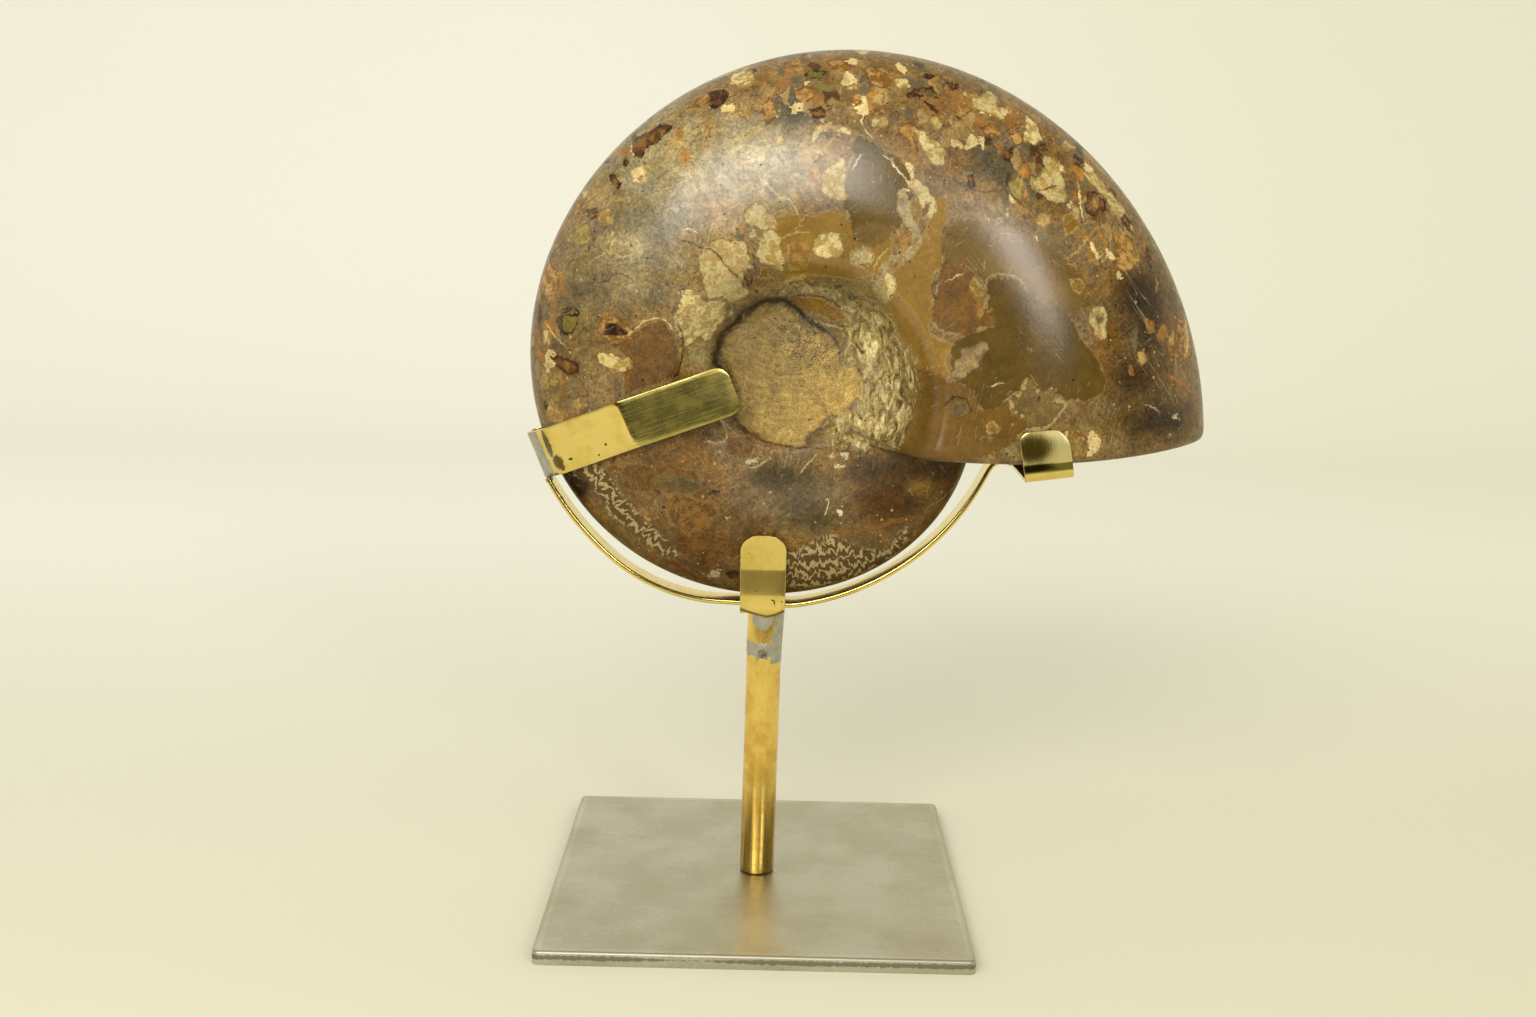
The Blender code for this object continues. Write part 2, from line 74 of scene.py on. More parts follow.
# ---------------------------------------------------------------- studio
# A cream paper sweep under and behind the stand, two large softboxes in front to its left and
# right, and an even cream room. The brass also mirrors the unlit part of the room behind them.
PAPER_BACK = "#f0efe4"
# The front and right tones are painted shade: the paper darkens where it comes forward under the stand and toward the
# right
PAPER_FRONT_SHADED = "#cfcdb8"
PAPER_RIGHT_SHADE = "#f8f7ee"
SWEEP_WIDE = 9.0
SWEEP_FRONT = -0.62
APRON_FRONT = -7.0
SWEEP_BACK = 1.10
SWEEP_CURVE = 0.80
SWEEP_TALL = 4.0
ROOM_CREAM = "#fffdf6"
ROOM_DARK = "#413c26"


def linear(code, alpha=1.0):
    """A colour's linear values from its sRGB hex code."""
    parts = [int(code[i : i + 2], 16) / 255.0 for i in (1, 3, 5)]
    return (*[p / 12.92 if p <= 0.04045 else ((p + 0.055) / 1.055) ** 2.4 for p in parts], alpha)


def add(tree, kind, *feeds, at=None, **settings):
    """Adds a node, or for an operation's name a Math node. Feeds are values, sockets or nodes, in
    the order of its inputs, where None leaves one alone; at gives more of them by name."""
    if kind.isupper():
        kind, settings["operation"] = "ShaderNodeMath", kind
    made = tree.nodes.new(kind)
    for name, value in settings.items():
        setattr(made, name, value)
    pairs = list(zip([s for s in made.inputs if s.enabled], feeds))
    pairs += [(made.inputs[name], feed) for name, feed in (at or {}).items()]
    for socket, feed in pairs:
        if isinstance(feed, bpy.types.Node):
            feed = next(s for s in feed.outputs if s.enabled)
        if isinstance(feed, bpy.types.NodeSocket):
            tree.links.new(feed, socket)
        elif feed is not None:
            socket.default_value = feed
    return made


def new_surface(name):
    """An empty material and its node tree."""
    surface = bpy.data.materials.new(name)
    surface.use_nodes = True
    surface.node_tree.nodes.clear()
    return surface, surface.node_tree


def add_piece(name, form, surface, sharp=35.0):
    """Turns a bmesh into an object at the origin, smooth but for its sharp edges."""
    bmesh.ops.recalc_face_normals(form, faces=form.faces)
    mesh = bpy.data.meshes.new(name)
    form.to_mesh(mesh)
    form.free()
    mesh.shade_smooth()
    mesh.set_sharp_from_angle(angle=math.radians(sharp))
    mesh.materials.append(surface)
    piece = bpy.data.objects.new(name, mesh)
    bpy.context.scene.collection.objects.link(piece)
    return piece


def paper_strip(name, profile, surface):
    """A wide sheet with this profile in depth and height."""
    form = bmesh.new()
    rows = [[form.verts.new((side * SWEEP_WIDE / 2, y, z)) for side in (-1, 1)] for y, z in profile]
    for here, after in zip(rows, rows[1:]):
        form.faces.new((here[0], here[1], after[1], after[0]))
    sheet = add_piece(name, form, surface, sharp=80.0)
    return sheet


# Matt paper: soft and even, with painted shade: a little darker where it comes forward under the stand, and a little
# darker toward the right
paper, tree = new_surface("matt_paper")
spot = add(tree, "ShaderNodeSeparateXYZ", add(tree, "ShaderNodeTexCoord").outputs["Object"])
shade_forward = add(tree, "ShaderNodeMapRange", spot.outputs["Y"], 0.75, -0.12, 0.0, 1.0, interpolation_type="SMOOTHSTEP")
shade_rightward = add(tree, "ShaderNodeMapRange", spot.outputs["X"], -0.5, 0.9, 0.0, 1.0, interpolation_type="SMOOTHSTEP")
paper_tone = add(tree, "ShaderNodeMix", shade_forward, data_type="RGBA")
paper_tone.inputs["A"].default_value = linear(PAPER_BACK)
paper_tone.inputs["B"].default_value = linear(PAPER_FRONT_SHADED)
shaded_paper_tone = add(tree, "ShaderNodeMix", shade_rightward, data_type="RGBA", blend_type="MULTIPLY")
tree.links.new(paper_tone.outputs["Result"], shaded_paper_tone.inputs["A"])
shaded_paper_tone.inputs["B"].default_value = linear(PAPER_RIGHT_SHADE)
shader = add(tree, "ShaderNodeBsdfPrincipled", at={"Roughness": 0.9, "Specular IOR Level": 0.1})
tree.links.new(shaded_paper_tone.outputs["Result"], shader.inputs["Base Color"])
add(tree, "ShaderNodeOutputMaterial", shader)

profile = [(SWEEP_FRONT, 0.0), (SWEEP_BACK, 0.0)]
for i in range(1, 25):
    turn = math.pi / 2 * i / 24
    profile.append((SWEEP_BACK + SWEEP_CURVE * math.sin(turn), SWEEP_CURVE * (1 - math.cos(turn))))
profile.append((SWEEP_BACK + SWEEP_CURVE, SWEEP_TALL))
sweep_sheet = paper_strip("paper_sweep", profile, paper)
apron = paper_strip("paper_apron", [(APRON_FRONT, 0.0), (SWEEP_FRONT, 0.0)], paper)
apron.visible_glossy = False

world = bpy.data.worlds.new("cream_room")
world.use_nodes = True
world.cycles.sampling_method = "NONE"
bpy.context.scene.world = world
tree = world.node_tree
tree.nodes.clear()
path = add(tree, "ShaderNodeLightPath")
where = add(tree, "ShaderNodeTexCoord")
split = add(tree, "ShaderNodeSeparateXYZ", where.outputs["Generated"])
behind = add(tree, "ShaderNodeMapRange", split.outputs["Y"], 0.10, -0.70, 0.0, 1.0, interpolation_type="SMOOTHSTEP")
above = add(tree, "ShaderNodeMapRange", split.outputs["Z"], 0.25, 0.70, 0.0, 0.85, interpolation_type="SMOOTHSTEP")
dim = add(tree, "MULTIPLY", add(tree, "MAXIMUM", behind, above), path.outputs["Is Glossy Ray"])
room = add(tree, "ShaderNodeMix", data_type="RGBA")
tree.links.new(dim.outputs[0], room.inputs["Factor"])
room.inputs["A"].default_value = linear(ROOM_CREAM)
room.inputs["B"].default_value = linear(ROOM_DARK)
light = add(tree, "ShaderNodeBackground")
tree.links.new(room.outputs["Result"], light.inputs["Color"])
light.inputs["Strength"].default_value = 0.92
add(tree, "ShaderNodeOutputWorld", light)

STONE_MIDDLE = Vector((0.02, -0.02, 0.21))


def softbox(name, side, height, away, wide, tall, watts, colour):
    """A rectangular light at this many degrees right of straight ahead and above level."""
    lamp = bpy.data.lights.new(name, "AREA")
    lamp.shape = "RECTANGLE"
    lamp.size, lamp.size_y = wide, tall
    lamp.energy = watts
    lamp.color = linear(colour)[:3]
    holder = bpy.data.objects.new(name, lamp)
    bpy.context.scene.collection.objects.link(holder)
    s, h = math.radians(side), math.radians(height)
    toward = Vector((math.sin(s) * math.cos(h), -math.cos(s) * math.cos(h), math.sin(h)))
    holder.location = STONE_MIDDLE + toward * away
    holder.rotation_mode = "QUATERNION"
    holder.rotation_quaternion = toward.to_track_quat("Z", "Y")
    holder.visible_camera = False
    return holder


softbox("left_softbox", -18.0, 27.0, 1.35, 0.80, 0.62, 14.0, "#fffaf0")
softbox("right_softbox", 26.0, 19.0, 1.35, 0.26, 0.40, 4.2, "#fffaf0")

# ---------------------------------------------------------------- ammonite half
# A cut and polished fossil shell: a logarithmic spiral whose last whorl ends in a broken lip. The
# domed side is ground smooth over brecciated matrix and calcite, with a chalky cup at its middle,
# and the cut side shows the chambers. It rests in the cradle's three clips.
CUT_Y = 0.006
POLE_X, POLE_Z = 0.01135, 0.1886
LIP_RADIUS = 0.1482
LIP_START = math.radians(-9.0)
GROWTH = 0.1323
OVAL_SHARE, OVAL_ANGLE = 0.0090, math.radians(-5.0)
LOBE_SHARE, LOBE_ANGLE = 0.0083, math.radians(110.0)
HALF_THICK = 0.045
LIP_DROP, LIP_BOW, LIP_INNER = 0.0145, 0.006, 0.030
HUB_THICK, HUB_RADIUS, HUB_SHOULDER = 0.0195, 0.030, 0.050
CUP_X, CUP_Z = 0.0075, 0.1950
CUP_RADIUS_X, CUP_RADIUS_Z = 0.0260, 0.0245
CUP_DEPTH, CUP_EDGE = 0.005, 0.16
LIP_ROUNDING = 0.0046
TURN_ROWS, FLANK_ROWS = 700, 128
WALL_ROWS = 14
CUT_EASE = 0.0005


def number_input(tree, name, value):
    """A named size on a node group."""
    socket = tree.interface.new_socket(name=name, in_out="INPUT", socket_type="NodeSocketFloat")
    socket.default_value = value
    return socket


# One place on the shell: from the share of a turn wound back from the lip, and the share of the way
# out from the spiral's pole to its outline.
SPIRAL_SIZES = {
    "Lip radius": LIP_RADIUS,
    "Growth": GROWTH,
    "Half thickness": HALF_THICK,
    "Cut depth": CUT_Y,
    "Lip rounding": LIP_ROUNDING,
}
whorl = bpy.data.node_groups.new("place_on_whorl", "GeometryNodeTree")
number_input(whorl, "Turn", 0.0)
number_input(whorl, "Share", 0.0)
for name, value in SPIRAL_SIZES.items():
    number_input(whorl, name, value)
whorl.interface.new_socket(name="Place", in_out="OUTPUT", socket_type="NodeSocketVector")
given = add(whorl, "NodeGroupInput").outputs
wound = add(whorl, "MULTIPLY", given["Turn"], 2.0 * math.pi)


def lip_nodes(distance):
    """The angle that the lip line lies below the level at a distance from the pole."""
    bow = add(whorl, "SINE", add(whorl, "MULTIPLY", add(whorl, "DIVIDE", distance, given["Lip radius"]), math.pi))
    drop = add(whorl, "MULTIPLY_ADD", bow, LIP_BOW, LIP_DROP)
    return add(whorl, "ARCSINE", add(whorl, "DIVIDE", drop, add(whorl, "MAXIMUM", distance, LIP_INNER)))


def outline_nodes(angle):
    """The outline's radius at an angle: the spiral, a little oval and a little three-lobed."""
    fall = add(whorl, "MULTIPLY", add(whorl, "SUBTRACT", LIP_START, angle), given["Growth"])
    even = add(whorl, "MULTIPLY", add(whorl, "EXPONENT", fall), given["Lip radius"])
    oval = add(whorl, "COSINE", add(whorl, "MULTIPLY_ADD", angle, 2.0, OVAL_ANGLE))
    lobes = add(whorl, "COSINE", add(whorl, "MULTIPLY_ADD", angle, 3.0, LOBE_ANGLE))
    uneven = add(whorl, "MULTIPLY_ADD", lobes, LOBE_SHARE, add(whorl, "MULTIPLY_ADD", oval, OVAL_SHARE, 1.0))
    return add(whorl, "MULTIPLY", even, uneven)


rim = given["Lip radius"]
for _ in range(5):
    rim = outline_nodes(add(whorl, "SUBTRACT", wound, lip_nodes(rim)))
distance = add(whorl, "MULTIPLY", given["Share"], rim)
angle = add(whorl, "SUBTRACT", wound, lip_nodes(distance))
edge = outline_nodes(angle)
across = add(whorl, "MULTIPLY_ADD", add(whorl, "COSINE", angle), distance, POLE_X)
up = add(whorl, "MULTIPLY_ADD", add(whorl, "SINE", angle), distance, POLE_Z)
# The flank is level to half way out and then falls as a quarter ellipse to the cut
reach = add(whorl, "DIVIDE", distance, edge)
beyond = add(whorl, "MULTIPLY_ADD", reach, 2.0, -1.0, use_clamp=True)
fall = add(whorl, "SQRT", add(whorl, "MULTIPLY_ADD", beyond, add(whorl, "MULTIPLY", beyond, -1.0), 1.0))
share = add(whorl, "DIVIDE", add(whorl, "MULTIPLY", edge, given["Half thickness"]), given["Lip radius"])
flank = add(whorl, "MULTIPLY", fall, share)
shoulder = add(whorl, "ShaderNodeMapRange", distance, HUB_RADIUS, HUB_SHOULDER, 0.0, 1.0, interpolation_type="SMOOTHSTEP")
thick = add(whorl, "MULTIPLY_ADD", add(whorl, "SUBTRACT", flank, HUB_THICK), shoulder, HUB_THICK)
side_on = add(whorl, "DIVIDE", add(whorl, "SUBTRACT", across, CUP_X), CUP_RADIUS_X)
end_on = add(whorl, "DIVIDE", add(whorl, "SUBTRACT", up, CUP_Z), CUP_RADIUS_Z)
from_cup = add(whorl, "SQRT", add(whorl, "MULTIPLY_ADD", side_on, side_on, add(whorl, "MULTIPLY", end_on, end_on)))
cup = add(whorl, "ShaderNodeMapRange", from_cup, 1.0 - CUP_EDGE, 1.0 + CUP_EDGE, CUP_DEPTH, 0.0, interpolation_type="SMOOTHSTEP")
# The lip's front edge is ground round, more so away from the hub
radius = add(whorl, "MULTIPLY", given["Lip rounding"], add(whorl, "ShaderNodeMapRange", distance, 0.032, 0.044, 0.0, 1.0, interpolation_type="SMOOTHSTEP"))
in_from_lip = add(whorl, "MULTIPLY", wound, distance)
short = add(whorl, "MAXIMUM", add(whorl, "SUBTRACT", radius, in_from_lip), 0.0)
arc = add(whorl, "SUBTRACT", add(whorl, "MULTIPLY", radius, radius), add(whorl, "MULTIPLY", short, short))
eased = add(whorl, "SUBTRACT", radius, add(whorl, "SQRT", add(whorl, "MAXIMUM", arc, 0.0)))
thick = add(whorl, "SUBTRACT", add(whorl, "SUBTRACT", thick, cup), eased)
thick = add(whorl, "MAXIMUM", thick, 0.0)
place = add(whorl, "ShaderNodeCombineXYZ", across, add(whorl, "SUBTRACT", given["Cut depth"], thick), up)
add(whorl, "NodeGroupOutput", place)

shell = bpy.data.node_groups.new("polished_spiral_half", "GeometryNodeTree")
for name, value in SPIRAL_SIZES.items():
    number_input(shell, name, value)
for name, value in {"Turn rows": TURN_ROWS, "Flank rows": FLANK_ROWS, "Wall rows": WALL_ROWS}.items():
    shell.interface.new_socket(name=name, in_out="INPUT", socket_type="NodeSocketInt").default_value = value
shell.interface.new_socket(name="Surface", in_out="INPUT", socket_type="NodeSocketMaterial")
shell.interface.new_socket(name="Shell", in_out="OUTPUT", socket_type="NodeSocketGeometry")
given = add(shell, "NodeGroupInput").outputs
sizes = [given[name] for name in SPIRAL_SIZES]

steps = add(shell, "ShaderNodeSeparateXYZ", add(shell, "GeometryNodeInputPosition"))
step_one = add(shell, "ADD", steps.outputs["X"], 0.5)
step_two = add(shell, "ADD", steps.outputs["Y"], 0.5)
# Flank shares: even as far as the ridge, then close together towards the cut
near = add(shell, "MULTIPLY", add(shell, "MINIMUM", step_two, 0.44), 0.5 / 0.44)
far = add(shell, "MULTIPLY", add(shell, "MAXIMUM", add(shell, "SUBTRACT", step_two, 0.44), 0.0), math.pi / 1.12)
flank_share = add(shell, "MULTIPLY_ADD", add(shell, "SINE", far), 0.5, near)
# Turns: rows are closer together where the lip's edge is rounded
first = add(shell, "MULTIPLY", add(shell, "POWER", add(shell, "DIVIDE", add(shell, "MINIMUM", step_one, 0.03), 0.03), 1.6), 0.03)
turn_share = add(shell, "ADD", first, add(shell, "MAXIMUM", add(shell, "SUBTRACT", step_one, 0.03), 0.0))
outer_grid = add(shell, "GeometryNodeMeshGrid", 1.0, 1.0, given["Turn rows"], given["Flank rows"])
on_flank = add(shell, "GeometryNodeGroup", node_tree=whorl)
for socket, feed in zip(on_flank.inputs, [turn_share.outputs[0], flank_share.outputs[0], *sizes]):
    shell.links.new(feed, socket)
flank_mesh = add(shell, "GeometryNodeSetPosition", outer_grid, at={"Position": on_flank})
# The broken end: from the lip down to the older whorl
wall_grid = add(shell, "GeometryNodeMeshGrid", 1.0, 1.0, given["Wall rows"], given["Flank rows"])
on_lip = add(shell, "GeometryNodeGroup", node_tree=whorl)
on_older = add(shell, "GeometryNodeGroup", node_tree=whorl)
for group, turn in ((on_lip, 0.0), (on_older, 1.0)):
    group.inputs["Turn"].default_value = turn
    for socket, feed in zip(list(group.inputs)[1:], [flank_share.outputs[0], *sizes]):
        shell.links.new(feed, socket)
between = add(shell, "ShaderNodeMix", data_type="VECTOR")
shell.links.new(step_one.outputs[0], between.inputs["Factor"])
shell.links.new(on_lip.outputs[0], between.inputs["A"])
shell.links.new(on_older.outputs[0], between.inputs["B"])
wall_mesh = add(shell, "GeometryNodeSetPosition", wall_grid, at={"Position": between.outputs["Result"]})
wall_mesh = add(shell, "GeometryNodeFlipFaces", wall_mesh)
both = add(shell, "GeometryNodeJoinGeometry")
for mesh in (wall_mesh, flank_mesh):
    shell.links.new(mesh.outputs["Mesh" if "Mesh" in mesh.outputs else "Geometry"], both.inputs[0])
welded = add(shell, "GeometryNodeMergeByDistance", both, at={"Distance": 0.00001})
whole = add(shell, "GeometryNodeSetMaterial", add(shell, "GeometryNodeRealizeInstances", welded), at={"Material": given["Surface"]})
add(shell, "NodeGroupOutput", whole)


def grown(name, tree, values):
    """The plain mesh that a node group makes with these values on its named inputs."""
    mesh = bpy.data.meshes.new(name)
    piece = bpy.data.objects.new(name, mesh)
    bpy.context.scene.collection.objects.link(piece)
    maker = piece.modifiers.new("Maker", "NODES")
    maker.node_group = tree
    keys = {item.name: item.identifier for item in tree.interface.items_tree if item.in_out == "INPUT"}
    for key, value in values.items():
        maker[keys[key]] = value
    bpy.context.view_layer.update()
    ready = piece.evaluated_get(bpy.context.evaluated_depsgraph_get())
    made = bpy.data.meshes.new_from_object(ready)
    piece.modifiers.remove(maker)
    piece.data = made
    bpy.data.meshes.remove(mesh)
    made.name = name
    return piece

# What lies in the stone. Each kind is its body colour, a second colour mottled into it, the colour
# and width (mm) of its outline, how ragged that is (mm), and how rough its polish came out.
KINDS = {
    "cream": ("#ae9d68", "#8c7238", "#6b552a", 0.4, 0.7, 0.30),
    "bone": ("#aa9a66", "#8c7444", "#5a4122", 0.5, 0.8, 0.30),
    "yellow_calcite": ("#84743e", "#6e5e2c", "#5c4a22", 0.5, 0.6, 0.24),
    "orange": ("#764f16", "#94743f", "#553510", 0.5, 0.8, 0.28),
    "golden": ("#7d5f22", "#6c4c1a", "#8f7a46", 0.4, 0.7, 0.26),
    "rust": ("#533410", "#6e4c1c", "#241306", 0.7, 0.7, 0.28),
    "dark_shard": ("#301a08", "#4c2e12", "#1e0f04", 0.3, 0.6, 0.28),
    "red_brown": ("#6b480f", "#553a12", "#8a744a", 0.5, 0.8, 0.26),
    "plum_brown": ("#6c4c1e", "#51391a", "#7a6034", 0.3, 1.2, 0.32),
    "tan": ("#a08347", "#836634", "#6b552c", 0.4, 0.8, 0.30),
    "grey": ("#5b4824", "#4a3c20", "#6e6040", 0.2, 1.0, 0.30),
    "olive_lens": ("#6a5e26", "#3c3214", "#1c1304", 0.7, 0.5, 0.20),
    "olive_top": ("#554212", "#45350e", "#86754a", 0.4, 0.7, 0.185),
    "olive_window": ("#513e16", "#423210", "#77633a", 0.4, 0.7, 0.185),
    "smoke": ("#644d22", "#503e1b", "#6a5732", 0.0, 1.8, 0.20),
    "lip_brown": ("#63481b", "#4e3814", "#6a5228", 0.0, 1.8, 0.20),
    "honey": ("#7c5f27", "#64491a", "#8a7440", 0.4, 0.9, 0.19),
    "vein": ("#7a6236", "#64502c", "#4f3c1c", 0.4, 0.9, 0.34),
    "star": ("#675127", "#584622", "#94814f", 1.0, 0.3, 0.28),
    "chalk": ("#b4a988", "#958660", "#7a6a44", 0.2, 1.6, 0.6),
}
BEDS = (
    ("honey", "-2 246, 6 251, 14 250, 22 252, 30 247, 38 247, 42 240, 38 233, 30 229, 18 230, 8 229, 2 232"),
    ("olive_top", "27.5 277.5, 33 275.5, 38 272.5, 41.5 270, 45 266.5, 47.5 262.5, 51 260.5, 48 258.5, 43.5 255.5,"
     "43.5 251, 45 249, 44.5 246.5, 42 245, 38 241.5, 33 241, 29 243, 27 246, 26.5 249, 24.5 252, 23.5 256, 24 262,"
     "25 267, 27 270"),
    ("bone", "-24 236, -20 241, -14 241.5, -9 242, -7.5 240, -7.5 236.5, -6 233, -8.5 230.5, -9.5 226.5, -7 224,"
     "-8.5 221, -12 220, -14.5 220, -16 222.5, -21 221, -22.5 226, -23.5 232"),
    ("bone", "-33 215, -31 219, -30 224, -26 224.5, -22 221, -15.5 221, -14.5 218, -16 214, -18 210, -20 206.5,"
     "-22 206, -24 207.5, -26 205, -28 204, -30 206, -32 210"),
    ("honey", "41 232, 46 236, 50 241, 52 246, 55 256, 59 256.5, 58 244, 59.5 238, 57 233, 53.5 228, 55 222, 54 214,"
     "56 211, 62 208, 60 203, 61 197, 51 196, 50.5 199, 49 204, 46 209, 43 213, 40 219, 39.5 226"),
    ("smoke", "58 247, 66 250, 76 249, 88 245, 98 239, 105 232, 107 226, 103 218, 99 221, 92 224, 86 227.5, 82 231,"
     "77 231, 73 230, 69 232, 66 235, 61 235, 58 236"),
    ("lip_brown", "44 200, 54 199, 61 197, 66 195, 70 192, 72 188, 76 187, 81 190, 84 192, 83 187, 86 184, 88 181, 84 176,"
     "74 171, 60 169.5, 46 170, 42 186"),
    ("red_brown", "57.5 234.5, 61 235, 66 235, 69 232, 71 229.5, 72 226, 73.5 221.5, 75.5 219, 76 216.5, 75 214,"
     "72 214, 70 213.5, 68 211.5, 66 211, 63 211, 59 212, 56 214, 54.5 217, 55 222, 56 227, 57.5 231"),
    ("olive_window", "73 230, 77 231, 82 231, 86 227.5, 92 224, 99 221, 104 216, 105.5 212.5, 109 208, 112.5 203.5,"
     "115 198, 114.5 194, 111 191.5, 104 190.5, 98 192, 96 195, 93 193, 90 196, 87.5 197, 85.5 194.5, 84 192.5,"
     "81.5 192.5, 81 190, 76 187, 72 188, 70 192, 66 195, 62 198, 62 208, 66 211, 69 212.5, 73 214, 76 216, 75 220,"
     "73 224"),
    ("star", "81 191.5, 82 193, 85 192.5, 85.5 195, 87 197.5, 89 197.5, 90.5 195, 92.5 193, 94 193.5, 96 195, 97 193,"
     "98 191, 102 190, 100 186, 95 181, 88 181, 86 184, 83 187.5"),
    ("plum_brown", "-60 204.5, -55 204, -44 211, -39 213, -36 213.5, -33 211, -31.5 207, -30.5 203, -30 196, -32 193.5,"
     "-42 190, -49 187, -50 192, -48 196, -52 203"),
    ("plum_brown", "-33 152, -30 153, -26 152, -24 150.5, -17 150, -16.5 146, -19 143, -21 138, -25 136, -33 141,"
     "-34 147"),
    ("golden", "6.5 220, 10 222, 15 222.5, 19 221.5, 23 219, 28.5 215.5, 25 214, 22 213.5, 19 214.5, 15 217, 11 218.5"),
    ("orange", "139 212, 141 216, 145 217.5, 148 216, 150 206, 147 203.5, 143 203.5, 139 205.5, 138 209"),
    ("orange", "117 249, 120 246.5, 124 245, 125.5 241, 127.5 238, 124 234.5, 120 233.5, 118 236, 118.5 240, 117 244"),
    ("golden", "-65 258, -63.5 257, -64 253.5, -65.5 251, -68.5 248, -72 243, -74.5 238, -77 237, -80 242, -72 254"),
    ("yellow_calcite", "-72 240, -69 243, -66 245.5, -64 245.5, -62 243, -62.5 240, -64 238.5, -68 238.5"),
    ("orange", "-78 234, -77 231, -73.5 229, -71.5 228, -73.5 225, -75 221, -76 219.5, -80.5 220.5, -82 224, -80 231"),
    ("grey", "28 277, 33 275, 38 272, 37 269, 31 269, 27 271"),
    ("smoke", "29 247, 34 248.5, 40 247.5, 42.5 246, 38 241.5, 33 241, 29 243"),
    ("bone", "-9 252, -4 254, 0 251, 2 248, 0 245, -5 245, -8 247"),
    ("tan", "5 228, 12 230, 16 228, 13 225.5, 6 225.5"),
    ("bone", "46 262, 49 263.5, 52 260, 55 255, 54 250, 51 251, 49 256, 46.5 259"),
    ("bone", "27 238, 31 240, 35 238.5, 34 235, 30 233.5, 27 235"),
    ("bone", "38 231, 41 232, 43 228, 42 223, 39.5 222, 38 226"),
    ("golden", "69 231, 72 226, 73.5 221.5, 71.5 218, 69.5 224, 67 229"),
    ("plum_brown", "-50 162, -44 163, -38 160, -38 155, -44 152, -50 154"),
    ("grey", "-40 158, -30 159, -22 156, -26 153, -36 153"),
    ("plum_brown", "-14 171, -7 172.5, -4 169, -6 165, -10 164.5, -14 167"),
)
